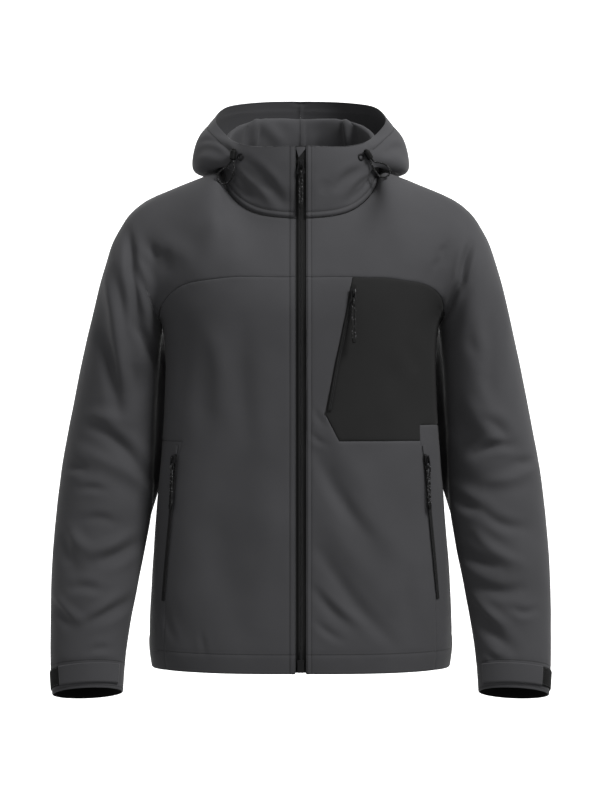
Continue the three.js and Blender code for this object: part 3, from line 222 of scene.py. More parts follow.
def outside_of(panel, side, aim):
    """The outer sheet of a panel's wall, as quads. It spreads from where the probe meets it."""
    bm = merged_copy(panel)
    bm.faces.ensure_lookup_table()
    tree = BVHTree.FromBMesh(bm)
    sheet = set()
    for face in bm.faces:
        inward = -face.normal
        start = face.calc_center_median() + inward * PROBE_START
        place, normal, *_ = tree.ray_cast(start, inward, PROBE_REACH)
        if place is not None and normal.dot(face.normal) < OPPOSED:
            sheet.add(face)
    low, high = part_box(panel)
    x, z = aim or ((low.x + high.x) / 2, (low.z + high.z) / 2)
    found = tree.ray_cast(Vector((x, side[1], z)), -Vector(side))
    reached = {bm.faces[found[2]]}
    queue = list(reached)
    while queue:
        face = queue.pop()
        for edge in face.edges:
            if edge.calc_face_angle(0) > RIM_ANGLE:
                continue
            for other in edge.link_faces:
                if other in sheet and other not in reached:
                    reached.add(other)
                    queue.append(other)
    bmesh.ops.delete(bm, geom=[f for f in bm.faces if f not in reached], context="FACES")
    bmesh.ops.join_triangles(
        bm, faces=bm.faces, angle_face_threshold=QUAD_ANGLE, angle_shape_threshold=QUAD_ANGLE
    )
    return bm


garment = bmesh.new()
for panel, (side, aim) in PANELS.items():
    sheet = outside_of(panel, side, aim)
    for face in sheet.faces:
        face.material_index = NUMBER[panel]
    mesh = bpy.data.meshes.new(panel)
    sheet.to_mesh(mesh)
    sheet.free()
    garment.from_mesh(mesh)
SEAM_REACH = 0.6 * MM  # two panels' edges are nearer to each other than this at a seam
LEAST_OPENING = 8  # an opening with fewer sides is a slip between panels, and is closed
bmesh.ops.remove_doubles(garment, verts=garment.verts, dist=SEAM_REACH)
open_edges = [e for e in garment.edges if e.is_boundary]
for face in bmesh.ops.holes_fill(garment, edges=open_edges, sides=LEAST_OPENING - 1)["faces"]:
    beside = [f.material_index for e in face.edges for f in e.link_faces if f is not face]
    face.material_index = max(beside, key=beside.count)

# Corners of the panels stay corners, seams off the sleeves keep their line, and all else is rounded.
CORNER = math.radians(35)
crease =garment.verts.layers.float.new("crease_vert")
edge_crease = garment.edges.layers.float.new("crease_edge")


def is_seam(edge):
    return len(edge.link_faces) == 2 and len({f.material_index for f in edge.link_faces}) == 2


for vert in garment.verts:
    on_edge = [e for e in vert.link_edges if e.is_boundary]
    on_seam = [e for e in vert.link_edges if is_seam(e)]
    for ends in (on_edge, on_seam):
        if len(ends) == 2:
            a, b = [e.other_vert(vert).co - vert.co for e in ends]
            if math.pi - a.angle(b) > CORNER:
                vert[crease] = 1
for edge in garment.edges:
    if is_seam(edge) and not SLEEVES.intersection(f.material_index for f in edge.link_faces):
        edge[edge_crease] = 1
cage = bpy.data.meshes.new("garment_cage")
garment.to_mesh(cage)
garment.free()


def finished_mesh(obj, name):
    """The mesh of an object with its modifiers applied. The object goes."""
    graph = bpy.context.evaluated_depsgraph_get()
    mesh = bpy.data.meshes.new_from_object(obj.evaluated_get(graph))
    mesh.name = name
    bpy.data.objects.remove(obj)
    return mesh


def new_piece(name, mesh):
    piece = bpy.data.objects.new(name, mesh)
    bpy.context.scene.collection.objects.link(piece)
    return piece


def rounded(mesh, levels):
    holder = new_piece("rounding", mesh)
    rounding = holder.modifiers.new("rounding", "SUBSURF")
    rounding.levels = levels
    rounding.render_levels = levels
    rounding.boundary_smooth = "PRESERVE_CORNERS"
    return finished_mesh(holder, "garment_outside")


def vectors_of(items, key):
    flat = np.empty(len(items) * 3)
    items.foreach_get(key, flat)
    return flat.reshape(-1, 3)


# Rounding draws a cage in, so the cage is let out until its corners come out where they were.
ROUNDING = 3
LETTING_OUT = 3
corners = vectors_of(cage.vertices, "co")
facings = vectors_of(cage.vertices, "normal")
for _ in range(LETTING_OUT):
    trial = rounded(cage, 1)
    short = corners - vectors_of(trial.vertices, "co")[: len(corners)]
    let_out = facings * np.sum(short * facings, axis=1)[:, None]
    cage.vertices.foreach_set("co", (vectors_of(cage.vertices, "co") + let_out).ravel())
    cage.update()
    bpy.data.meshes.remove(trial)
fine = rounded(cage, ROUNDING)

# Folds of the worn jacket, listed here: the main ones are in the solids, and these sharpen them and
# add the smaller ones. A crease is a trough with a soft shoulder on each side, or a ridge where its
# depth is above 0. They are seen from a view: stand is the neck stand's back, inside the hood.
VIEWS = {  # view: way that its cloth faces in y, how far back it reaches, gain on the depths
    "front": (-1, 1, 1.5),
    "back": (1, 1, 2.2),
    "stand": (1, 0.095, 1.3),
}
CREASES = [  # view, from x, z, to x, z, bow of its middle, width, depth, in millimetres
    ("front", 22, -413, 90, -519, 5, 8, -1.5),
    ("front", 27, -547, 125, -669, 6, 8, -1.6),
    ("front", 22, -599, 65, -645, 3, 6, -1.2),
    ("front", 20, -585, 84, -645, 4, 6, 0.9),
    ("front", 22, -642, 55, -666, 2, 5, -1.2),
    ("front", 60, -430, 150, -560, 12, 14, 1.2),
    ("front", 150, -560, 158, -660, 4, 12, -1.4),
    ("front", 14, -382, 34, -396, 2, 4, -1.0),
    ("front", 18, -350, 36, -372, 2, 4, -0.8),
    ("front", 150, -245, 166, -300, 4, 10, -1.0),
    ("front", -140, -250, -126, -345, -6, 11, -1.5),
    ("front", -160, -245, -172, -350, 4, 12, -1.5),
    ("front", -80, -240, -70, -400, 5, 13, -1.2),
    ("front", -112, -430, -124, -640, -6, 24, -1.8),
    ("front", -40, -420, -60, -640, -6, 18, 1.2),
    ("front", -190, -622, -177, -668, 3, 5, -1.0),
    ("front", -137, -660, -134, -684, 0, 4, -0.7),
    ("front", -193, -112, -150, -150, -4, 12, 1.6),
    ("front", -212, -120, -203, -142, -2, 6, -2.6),
    ("front", -196, -128, -186, -150, -2, 7, -1.4),
    ("front", 205, -120, 196, -136, 2, 5, -1.2),
    ("front", 196, -140, 186, -156, 2, 5, -1.0),
    ("front", -75, -4, -27, -60, -4, 6, -1.9),
    ("front", -101, -12, -74, -48, -3, 5, -1.7),
    ("front", -84, -18, -42, -62, -3, 5, 1.0),
    ("front", 84, -12, 52, -40, 3, 6, -1.7),
    ("front", 99, -22, 70, -58, 4, 5, -2.0),
    ("front", 40, -30, 30, -52, 2, 8, -1.2),
    ("front", -120, 30, -96, 8, -3, 4, -1.5),
    ("front", -142, 32, -122, 30, -2, 4, -0.8),
    ("front", -148, 4, -118, 2, -5, 6, 0.8),
    ("front", 120, 28, 98, 8, 3, 4, -1.1),
    ("front", 146, 24, 124, 16, 2, 5, -1.0),
    ("front", 150, 0, 122, 4, 4, 6, 0.7),
    ("stand", -65, 72, -69, 26, 0, 4, -3.0),
    ("stand", -75, 68, -82, 24, 0, 5, 2.2),
    ("stand", 65, 72, 71, 26, 0, 4, -3.0),
    ("stand", 76, 68, 84, 24, 0, 5, 2.2),
    ("stand", -56, 68, -30, 40, 0, 8, -2.2),
    ("stand", 52, 68, 26, 36, 0, 8, -1.8),
    ("stand", 3, 76, 3, 20, 0, 2.4, -1.0),
    ("back", 40, -150, 130, -230, 10, 12, -2.5),
    ("back", -40, -150, -130, -235, -10, 12, -2.5),
    ("back", 20, -330, 140, -430, 12, 14, -2.2),
    ("back", -10, -340, -150, -430, -12, 14, -2.4),
    ("back", 60, -520, 30, -660, 6, 14, -2.0),
    ("back", -70, -500, -40, -670, -6, 14, -2.2),
    ("back", 150, -470, 120, -650, 8, 13, -2.0),
    ("back", -150, -460, -125, -650, -8, 13, -2.0),
    ("back", 0, -150, 4, -330, 3, 20, -1.6),
]
RIGHT_SLEEVE = [  # as above, from the front, across to the wearer's right
    (243, -100, 236, -160, 2, 6, -3.4),
    (236, -156, 226, -238, 2, 6, -3.2),
    (228, -232, 209, -276, 2, 6, -3.0),
    (226, -142, 212, -184, 2, 6, 1.8),
    (271, -165, 250, -330, 5, 8, 2.4),
    (284, -232, 254, -366, 6, 8, -2.8),
    (262, -158, 248, -226, 2, 7, -2.0),
    (233, -284, 226, -338, 2, 9, -3.0),
    (292, -372, 214, -446, 8, 8, -3.6),
    (316, -404, 220, -458, 6, 9, 2.2),
    (298, -358, 250, -366, 3, 8, 1.8),
    (333, -428, 298, -436, 2, 7, -2.6),
    (308, -460, 274, -462, 2, 5, -1.8),
    (302, -503, 260, -507, 4, 6, -1.6),
    (336, -522, 318, -566, -4, 9, -2.8),
    (284, -562, 228, -534, -4, 8, -3.8),
    (322, -518, 292, -546, -3, 7, 1.8),
    (290, -546, 246, -528, -3, 7, 1.8),
    (318, -597, 278, -600, 3, 6, -2.6),
    (342, -612, 306, -640, -3, 6, 2.0),
    (304, -640, 262, -612, -3, 6, 2.2),
    (291, -640, 232, -612, -3, 7, -3.4),
    (347, -622, 322, -648, 3, 8, -2.0),
    (290, -683, 266, -681, 2, 5, -1.6),
]
LEFT_SLEEVE = [
    (238, -118, 224, -172, 2, 5, -4.6),
    (224, -170, 205, -214, 2, 5, -4.2),
    (218, -336, 238, -384, 6, 12, -3.4),
    (236, -388, 214, -432, 4, 12, -3.4),
    (256, -362, 292, -392, -4, 8, -2.4),
    (248, -410, 296, -401, -5, 6, -3.0),
    (302, -424, 332, -420, 2, 6, -2.2),
    (214, -434, 258, -458, 4, 14, -2.4),
    (258, -450, 330, -434, 4, 8, 2.2),
    (216, -470, 252, -490, 3, 8, -3.6),
    (256, -494, 310, -515, 5, 7, -2.4),
    (244, -520, 304, -562, 6, 7, 2.2),
    (226, -548, 278, -570, 4, 8, -3.8),
    (250, -597, 304, -600, 4, 7, -3.0),
    (242, -608, 282, -646, 4, 6, 2.2),
    (295, -626, 326, -628, 3, 5, -2.0),
    (246, -632, 290, -678, 4, 8, -3.4),
    (260, -689, 276, -697, 1, 4, -1.8),
    (238, -243, 245, -275, 2, 8, -1.4),
    (274, -208, 266, -300, 4, 10, -1.8),
    (250, -300, 262, -344, 3, 9, 1.4),
]
BACK_OF_SLEEVE = [
    (244, -120, 256, -230, 5, 9, -2.6),
    (262, -180, 252, -320, 4, 9, 1.8),
    (292, -378, 226, -436, 6, 9, -3.2),
    (322, -404, 240, -452, 5, 9, 2.0),
    (232, -470, 300, -496, 5, 9, -3.0),
    (244, -536, 318, -520, -5, 8, -2.6),
    (250, -560, 300, -590, 4, 8, 1.8),
    (256, -604, 330, -620, 4, 9, -2.6),
    (276, -650, 334, -640, -3, 7, -2.0),
]
CREASES += [("front", -a, b, -c, d, -bow, *size) for a, b, c, d, bow, *size in RIGHT_SLEEVE]
CREASES += [("front", *crease) for crease in LEFT_SLEEVE]
CREASES += [("back", *crease) for crease in BACK_OF_SLEEVE]
CREASES += [("back", -a, b - 9, -c, d + 12, -bow, *size) for a, b, c, d, bow, *size in BACK_OF_SLEEVE]
RUN_OUT = 1.5  # a crease fades past its ends within about this many of its widths
END_DEPTH = 0.35  # its depth at its ends, as a share of that in its middle
SHOULDER = 0.3  # a shoulder's height, as a share of the trough's depth
TURNED_TO = (0.05, 0.4)  # creases start and are full where the cloth turns so far to their view


def smooth_step(value, low, high):
    share = np.clip((value - low) / (high - low), 0, 1)
    return share * share * (3 - 2 * share)


def crease_height(points, normals, creases):
    """How far creases move each point along its normal, in metres."""
    height = np.zeros(len(points))
    x, z = points[:, 0] / MM, points[:, 2] / MM
    for view, from_x, from_z, to_x, to_z, bow, width, depth in creases:
        length = math.hypot(to_x - from_x, to_z - from_z)
        run_x, run_z = (to_x - from_x) / length, (to_z - from_z) / length
        along = ((x - from_x) * run_x + (z - from_z) * run_z) / length
        inside = np.clip(along, 0, 1)
        away = (x - from_x) * run_z - (z - from_z) * run_x - bow * 4 * inside * (1 - inside)
        beyond = (along - inside) * length
        fade = np.exp(-((beyond / (RUN_OUT * width)) ** 2))
        reach = fade * (END_DEPTH + (1 - END_DEPTH) * np.sin(np.pi * inside))
        trough = np.exp(-((away / width) ** 2))
        shoulder = SHOULDER * np.exp(-(((np.abs(away) - 2 * width) / width) ** 2))
        way, deepest, gain = VIEWS[view]
        faces = smooth_step(way * normals[:, 1], *TURNED_TO) * (points[:, 1] < deepest)
        height += gain * depth * MM * reach * (trough - shoulder) * faces
    return height


def wander(points, size, seed):
    """Soft uneven waves between -1 and 1, of that size in metres."""
    shift = Vector((seed * 7.3, seed * 3.1, seed * 5.7))
    return np.array([noise.noise(Vector(p) / size + shift) for p in points])


UNEVENNESS = [  # height and size of soft waves all over, in millimetres, and their seed
    (1.1, 100, 1),
    (0.45, 36, 2),
]
places = vectors_of(fine.vertices, "co")
outward = vectors_of(fine.vertices, "normal")
relief = crease_height(places, outward, CREASES)
for height, size, seed in UNEVENNESS:
    relief += height * MM * wander(places, size * MM, seed)

# Lines that the sewing follows. Each holds the points of an edge or a seam, and the panels that are
# measured from it. The two front edges stay apart from the hem, the cuffs and the hood's rim.
FRONT_EDGE_REACH = 8 * MM  # an open edge nearer to the middle than this is a front edge
HEM_TOP = -700 * MM  # and one lower than this is the hem
EYELET_CLEAR = 9 * MM  # the open edges round an eyelet's hole lie within this
RIM_ROW_FROM = -58 * MM  # in front of this the hood's rim has no row of its own
eyelets = [sum(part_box("eyelet_" + side), Vector()) / 2 for side in ("left", "right")]
panels_at = {}
for face in fine.polygons:
    for key in face.edge_keys:
        panels_at.setdefault(key, []).append(face.material_index)
lines = {name: set() for name in ("front_edge", "hem", "rim", "cuff", "neck", "seam", "armhole")}
for key, panels in panels_at.items():
    middle = (fine.vertices[key[0]].co + fine.vertices[key[1]].co) / 2
    if len(panels) == 1:
        if abs(middle.x) < FRONT_EDGE_REACH:
            lines["front_edge"].update(key)
        elif panels[0] in SLEEVES:
            lines["cuff"].update(key)
        elif panels[0] in HOODS:
            if min((middle - eyelet).length for eyelet in eyelets) > EYELET_CLEAR:
                lines["rim"].update(key)
        elif middle.z < HEM_TOP:
            lines["hem"].update(key)
    elif panels[0] != panels[1]:
        hoods = len(HOODS.intersection(panels))
        if hoods == 1:
            lines["neck"].update(key)
        lines["armhole" if SLEEVES.intersection(panels) else "seam"].update(key)
measured = {  # line: panels on which the distance from it is kept
    "front_edge": set(NUMBER.values()) - SLEEVES,
    "hem": set(NUMBER.values()) - SLEEVES - HOODS,
    "rim": HOODS,
    "cuff": SLEEVES,
    "neck": HOODS,
    "seam": set(NUMBER.values()),
    "armhole": set(NUMBER.values()),
}
FAR = 999.0
used_by = [set() for _ in fine.vertices]
for face in fine.polygons:
    for number in face.vertices:
        used_by[number].add(face.material_index)
distance = {}
for name, numbers in lines.items():
    tree = KDTree(len(numbers))
    for number in sorted(numbers):
        tree.insert(fine.vertices[number].co, number)
    tree.balance()
    found = [
        tree.find(vertex.co) if used_by[vertex.index] & measured[name] else (None, None, FAR * MM)
        for vertex in fine.vertices
    ]
    if name == "rim":
        found = [(None, None, FAR * MM) if spot and spot.y < RIM_ROW_FROM else (spot, number, away)
                 for spot, number, away in found]
    distance[name] = np.array([away / MM for _, _, away in found])
    layer = fine.attributes.new(name + "_mm", "FLOAT", "POINT")
    layer.data.foreach_set("value", distance[name])


# At a seam both edges roll in, and the thread draws the cloth beside it into a slight pucker. The
# front edges, the neck seam, the hem and the hood's rim are thicker, with cloth turned in under them.
SWELLS = [  # line, distance from it, width, height or depth, in millimetres
    ("seam", 0, 2.2, -0.6),
    ("front_edge", 3.6, 2.6, 0.9),
    ("front_edge", 8.2, 1.6, -0.35),
    ("neck", 4.2, 2.8, 1.0),
    ("neck", 9, 2, -0.5),
    ("hem", 27, 2.5, -0.5),
    ("rim", 15, 2.2, -0.4),
]
PUCKERS = [  # line, distance from it, width, height, size of a pucker, in millimetres, and its seed
    ("seam", 0, 9, 0.3, 9, 3),
    ("hem", 27, 8, 0.45, 14, 4),
]
TURNED_IN = [  # line, distances where cloth turned in ends and is full, its height, in millimetres
    ("hem", 29, 24, 0.6),
    ("rim", 17, 13, 0.5),
]
CUFF_BAND = (33, 46)  # no folds this near to the cuff's edge, and full ones from here
CUFF_DRAWN_IN = ("cuff", 38, 2.4, -0.9)  # as in SWELLS, on the sleeve's front
CUFF_FRONT = (-0.2, 0.3)
CUFF_PUCKER = ("cuff", 40, 6, 0.6, 12, 5)


def swell(line, place, width, height):
    return height * MM * np.exp(-(((distance[line] - place) / width) ** 2))


def pucker(line, place, width, height, size, seed):
    return swell(line, place, width, height) * wander(places, size * MM, seed)


for row in SWELLS:
    relief += swell(*row)
for row in PUCKERS:
    relief += pucker(*row)
for line, ends, full, height in TURNED_IN:
    relief += height * MM * smooth_step(distance[line], ends, full)
relief *= smooth_step(distance["cuff"], *CUFF_BAND)
relief += swell(*CUFF_DRAWN_IN) * smooth_step(-outward[:, 1], *CUFF_FRONT)
relief += pucker(*CUFF_PUCKER)
fine.vertices.foreach_set("co", (places + outward * relief[:, None]).ravel())
fine.update()
layer = fine.attributes.new("outward", "FLOAT_VECTOR", "POINT")
layer.data.foreach_set("vector", vectors_of(fine.vertices, "normal").ravel())

# Finish of the shell: matt charcoal or black, with a very fine weave and a little bloom. Stitched
# rows draw a groove in it at a distance from an edge; the groove's colour is darkened as painted shade.
STITCH_ROWS = [  # line, distance from it in millimetres, and whether it shows on the inside too
    ("front_edge", 1.7, False),
    ("front_edge", 7.8, False),
    ("hem", 27, False),
    ("rim", 15, True),
    ("neck", 8.6, False),
    ("cuff", 3.4, False),
    ("cuff", 38, False),
]
GROOVE_WIDE = 0.75  # millimetres
GROOVE_PAINTED_SHADE = 0.35  # painted shade in a groove: its colour, as a share of the cloth's
GROOVE_PAINTED_SHADE_COVER = 0.6  # and how much of that painted shade shows
WEAVE_HEIGHT = 0.12  # the weave's height, as a share of a groove's depth


def math_node(material, operation, first, second=None):
    """A math node on sockets or numbers. It gives its result's socket."""
    node = material.node_tree.nodes.new("ShaderNodeMath")
    node.operation = operation
    for socket, value in zip(node.inputs, (first, second)):
        if isinstance(value, (int, float)):
            socket.default_value = value
        elif value is not None:
            material.node_tree.links.new(value, socket)
    return node.outputs[0]


def grooves(material):
    """1 in the middle of a stitched row, and 0 away from it."""
    total = 0.0
    for line, place, _ in STITCH_ROWS:
        far = material.node_tree.nodes.new("ShaderNodeAttribute")
        far.attribute_name = line + "_mm"
        offset = math_node(material, "SUBTRACT", far.outputs["Fac"], place)
        share = math_node(material, "DIVIDE", offset, GROOVE_WIDE)
        square = math_node(material, "MULTIPLY", share, share)
        bell = math_node(material, "EXPONENT", math_node(material, "MULTIPLY", square, -1.0))
        total = math_node(material, "ADD", bell, total)
    return total


def shell_material(name, color, bloom):
    material, shader = material_with(
        name, color, 0.86, Sheen_Weight=bloom, Sheen_Roughness=0.5, Specular_IOR_Level=0.22
    )
    links = material.node_tree.links
    place = object_coordinates(material)
    cloud = add_node(material, "ShaderNodeTexNoise", Scale=9, Detail=4)
    wire(material, place, "Vector", cloud, "Vector")
    ramp = add_node(material, "ShaderNodeValToRGB")
    for element, position, share in zip(ramp.color_ramp.elements, (0.35, 0.7), (0.93, 1.07)):
        element.position = position
        element.color = (*[c * share for c in color], 1)
    wire(material, cloud, "Fac", ramp, "Fac")
    rows = grooves(material)
    # Painted shade: the cloth's colour is darkened along each stitched row's groove.
    shade = add_node(material, "ShaderNodeMix")
    shade.data_type = "RGBA"
    shade.inputs["B"].default_value = (*[c * GROOVE_PAINTED_SHADE for c in color], 1)
    links.new(math_node(material, "MULTIPLY", rows, GROOVE_PAINTED_SHADE_COVER), shade.inputs["Factor"])
    wire(material, ramp, "Color", shade, "A")
    wire(material, shade, "Result", shader, "Base Color")
    grain = add_node(material, "ShaderNodeTexNoise", Scale=1100, Detail=3)
    wire(material, place, "Vector", grain, "Vector")
    weave = math_node(material, "MULTIPLY", grain.outputs["Fac"], WEAVE_HEIGHT)
    bump = add_node(material, "ShaderNodeBump", Strength=0.6, Distance=0.0004)
    links.new(math_node(material, "SUBTRACT", weave, rows), bump.inputs["Height"])
    wire(material, bump, "Normal", shader, "Normal")
    return material


def fleece_and_painted_shade_material():
    """The fleece on the cloth's inside: its own black, made darker still as painted shade of the shaded
    inside.
    """
    material, shader = material_with(
        "black_fleece", (0.006, 0.006, 0.006), 0.95, Sheen_Weight=0.05, Specular_IOR_Level=0.1
    )
    pile = add_node(material, "ShaderNodeTexNoise", Scale=420, Detail=4)
    wire(material, object_coordinates(material), "Vector", pile, "Vector")
    bumped(material, shader, pile, 0.7, 0.0008)
    return material


charcoal = shell_material("charcoal_softshell", (0.044, 0.044, 0.047), 0.06)
black = shell_material("black_softshell", (0.0105, 0.0105, 0.0105), 0.03)
fleece = fleece_and_painted_shade_material()
SEAM_GAP = 0.02 * MM  # how far each panel's edge is drawn back at a seam
EDGE_ROLL = 1.1 * MM  # width of the turned edge round a panel
EDGE_DIP = 0.55 * MM
ON_ARMHOLE = 0.01  # in millimetres: points nearer to the armhole lie on it


def draw_back(bm):
    """A panel's open edges drawn back, each in its own surface."""
    moves = {}
    for edge in bm.edges:
        if edge.is_boundary:
            a, b = edge.verts
            run = (b.co - a.co).normalized()
            inward = edge.link_faces[0].calc_center_median() - a.co
            inward = (inward - run * inward.dot(run)).normalized()
            for vert in edge.verts:
                moves.setdefault(vert, []).append(inward)
    for vert, ways in moves.items():
        vert.co += sum(ways, Vector()).normalized() * SEAM_GAP


def roll_edges(bm):
    """A narrow rim round a panel, whose outer edge dips in, but not at the armhole."""
    bmesh.ops.inset_region(
        bm, faces=bm.faces, thickness=EDGE_ROLL, depth=0, use_boundary=True,
        use_even_offset=False, use_interpolate=True,
    )
    bm.normal_update()
    armhole = bm.verts.layers.float["armhole_mm"]
    edge = [v for v in bm.verts if v.is_boundary and v[armhole] > ON_ARMHOLE]
    for vert in edge:
        vert.co -= vert.normal * EDGE_DIP


def walled(bm, thick):
    """The cloth's thickness: a second face inside, and the rim between the two. It runs along the whole
    garment's surface, so that neighbours still touch all through at a seam."""
    ways = bm.verts.layers.float_vector["outward"]
    outer = list(bm.faces)
    rim = [[loop.vert for loop in (e.link_loops[0], e.link_loops[0].link_loop_next)]
           for e in bm.edges if e.is_boundary]
    inner = {v: bm.verts.new(v.co - v[ways] * thick) for v in list(bm.verts)}
    for face in outer:
        lining = bm.faces.new([inner[v] for v in reversed(face.verts)])
        lining.material_index = 1
    for a, b in rim:
        wall = bm.faces.new((b, a, inner[a], inner[b]))
        for edge in wall.edges:
            edge.smooth = a not in edge.verts and b not in edge.verts


def row_on(bm, layer, level):
    """Where a panel is at that distance from a line: lines of points with their normals."""
    spots = {}
    links = {}
    for face in bm.faces:
        if max(v[layer] for v in face.verts) > FAR / 2:
            continue
        cut = []
        for loop in face.loops:
            a, b = loop.vert, loop.link_loop_next.vert
            if (a[layer] - level) * (b[layer] - level) < 0:
                share = (level - a[layer]) / (b[layer] - a[layer])
                key = loop.edge.index
                spots[key] = (a.co.lerp(b.co, share), a.normal.lerp(b.normal, share).normalized())
                cut.append(key)
        if len(cut) == 2:
            links.setdefault(cut[0], []).append(cut[1])
            links.setdefault(cut[1], []).append(cut[0])
    left = dict.fromkeys(sorted(links))
    rows = []
    while left:
        start = next((key for key in left if len(links[key]) == 1), next(iter(left)))
        row = []
        while start is not None:
            row.append(spots[start])
            left.pop(start)
            start = next((key for key in links[start] if key in left), None)
        rows.append(row)
    return rows


# Thread: lockstitch of matt charcoal polyester, a stitch each 3.4 mm, sunk to its middle.
STITCH_PITCH = 3.4 * MM
STITCH_SIZE = Vector((1.35, 0.3, 0.26)) * MM  # half of its length, width and height


def spread_along(row, pitch, start=0.5):
    """Places at even steps on a line of points and normals: point, normal and heading."""
    found = []
    due = pitch * start
    for (a, normal), (b, _) in zip(row, row[1:]):
        step = (b - a).length
        while due <= step and step > 0:
            found.append((a.lerp(b, due / step), normal, (b - a) / step))
            due += pitch
        due -= step
    return found


def facing(point, normal, heading, size):
    """The matrix that puts a bead of that size on a surface, along a heading."""
    across = normal.cross(heading).normalized()
    basis = Matrix((heading, across, heading.cross(across))).transposed().to_4x4()
    return Matrix.Translation(point) @ basis @ Matrix.Diagonal((*size, 1))


def beads(name, places, subdivisions=1):
    """One small rounded bead for each matrix, as one mesh."""
    bm = bmesh.new()
    bmesh.ops.create_icosphere(bm, subdivisions=subdivisions, radius=1)
    points = [v.co.copy() for v in bm.verts]
    faces = [[v.index for v in f.verts] for f in bm.faces]
    bm.free()
    count = len(points)
    mesh = bpy.data.meshes.new(name)
    mesh.from_pydata(
        [place @ point for place in places for point in points],
        [],
        [[number + shift * count for number in face] for shift in range(len(places)) for face in faces],
    )
    mesh.shade_smooth()
    return mesh


def stitches_on(row, depth=0.0):
    return [
        facing(point - normal * depth, normal, heading, STITCH_SIZE)
        for point, normal, heading in spread_along(row, STITCH_PITCH)
    ]


def smooth_mesh(bm, name):
    for face in bm.faces:
        face.smooth = True
    mesh = bpy.data.meshes.new(name)
    bm.to_mesh(mesh)
    bm.free()
    return mesh


def thread_material():
    material, shader = material_with("charcoal_thread", (0.022, 0.022, 0.023), 0.6)
    twist = add_node(material, "ShaderNodeTexWave", Scale=900, Distortion=1)
    wire(material, object_coordinates(material), "Vector", twist, "Vector")
    bumped(material, shader, twist, 0.4, 0.0001)
    return material


# Each panel gets its rows of thread, its drawn back and rolled edges, and its wall.
thread = thread_material()
stitching = []
for number, panel in enumerate(PANELS):
    bm = bmesh.new()
    bm.from_mesh(fine)
    bmesh.ops.delete(
        bm, geom=[f for f in bm.faces if f.material_index != number], context="FACES"
    )
    bm.edges.index_update()
    for line, place, both in STITCH_ROWS:
        layer = bm.verts.layers.float.get(line + "_mm")
        for row in row_on(bm, layer, place) if number in measured[line] else ():
            stitching += stitches_on(row)
            if both:
                stitching += stitches_on(row, CLOTH_THICK)
    draw_back(bm)
    roll_edges(bm)
    for face in bm.faces:
        face.material_index = 0
    area = sum(face.calc_area() for face in bm.faces)
    walled(bm, CLOTH_THICK)
    mesh = smooth_mesh(bm, "cloth_" + panel)
    outer = black if panel == "pocket_panel" else charcoal
    mesh.materials.append(outer)
    # The inside face: the hood's is shell cloth, the rest fleece, whose near-black is partly painted
    # shade.
    mesh.materials.append(charcoal if number in HOODS else fleece)
    cloth = new_piece("cloth_" + panel, mesh)
    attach(cloth, "jacket")
    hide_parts(panel)


# Cuff straps and the loop patches that they close on: small flat pieces sewn to the sleeve, each with
# a rounded edge and a row of stitches all round.
PATCH_EDGE = 1.8  # millimetres from the edge to the stitches
PATCH_THICK = 1.1 * MM
PATCH_ROUNDING = 3
PATCH_DIP = 0.6  # millimetres that the edge dips by
PATCH_ROLL = 1.1  # and how far in from it
PATCHES = {  # node: slot, how far it is lifted in millimetres, flat width and length in metres
    "cuff_strap_left": ("shell", 1.5, (0.03, 0.092)),
    "cuff_strap_right": ("shell", 1.5, (0.03, 0.092)),
    "loop_patch_left": ("black_shell", 1.0, (0.022, 0.058)),
    "loop_patch_right": ("black_shell", 1.0, (0.022, 0.058)),
}


def loop_pile_material():
    """The black looped pile that a strap's hooks grip."""
    material, shader = material_with(
        "loop_pile", (0.009, 0.009, 0.009), 0.95, Sheen_Weight=0.02, Specular_IOR_Level=0.08
    )
    pile = add_node(material, "ShaderNodeTexVoronoi", Scale=1300)
    wire(material, object_coordinates(material), "Vector", pile, "Vector")
    bumped(material, shader, pile, 0.6, 0.0006, "Distance")
    return material


pile = loop_pile_material()
for node, (slot, lift, flat) in PATCHES.items():
    sheet = outside_of(node, FROM_FRONT, None)
    mesh = bpy.data.meshes.new(node)
    sheet.to_mesh(mesh)
    sheet.free()
    bm = bmesh.new()
    bm.from_mesh(rounded(mesh, PATCH_ROUNDING))
    layer = bm.verts.layers.float.new("edge_mm")
    edge = [v for v in bm.verts if v.is_boundary]
    tree = KDTree(len(edge))
    for number, vert in enumerate(edge):
        tree.insert(vert.co, number)
    tree.balance()
    for vert in bm.verts:
        vert[layer] = tree.find(vert.co)[2] / MM
    for vert in bm.verts:
        dip = PATCH_DIP * math.exp(-((vert[layer] / PATCH_ROLL) ** 2))
        vert.co += vert.normal * MM * (lift - dip)
    bm.edges.index_update()
    for row in row_on(bm, layer, PATCH_EDGE):
        stitching += stitches_on(row)
    area = sum(face.calc_area() for face in bm.faces)
    patch = new_piece("sewn_" + node, smooth_mesh(bm, node))
    patch.data.materials.append(charcoal if slot == "shell" else pile)
    wall = patch.modifiers.new("wall", "SOLIDIFY")
    wall.thickness = PATCH_THICK
    wall.offset = -1
    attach(patch, "jacket")
    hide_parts(node)
stitches = new_piece("stitching", beads("stitching", stitching))
stitches.data.materials.append(thread)
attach(stitches, "jacket")


# Zips: woven tape with a row of coil on each side of the middle. The coil's turns are beads set at
# even steps on the solid's face.
TURN_PITCH = 1.35 * MM
FORWARD = Vector((0, 1, 0))  # the way that a probe looks at the jacket's front
IN_FRONT = -1  # where it starts, in metres
ZIPS = {  # zip: nodes, distance of a row of coil from the middle, half sizes of a turn, ends of the row
    "main": (("zip_left", "zip_right"), 1.25, (0.42, 1.2, 0.5), (-0.014, -0.709)),
    "chest": (("chest_zip",), 1.1, (0.42, 1.0, 0.35), (-0.192, -0.372)),
    "hand_left": (("hand_zip_left",), 1.1, (0.42, 1.0, 0.35), (-0.422, -0.606)),
    "hand_right": (("hand_zip_right",), 1.1, (0.42, 1.0, 0.35), (-0.422, -0.606)),
}


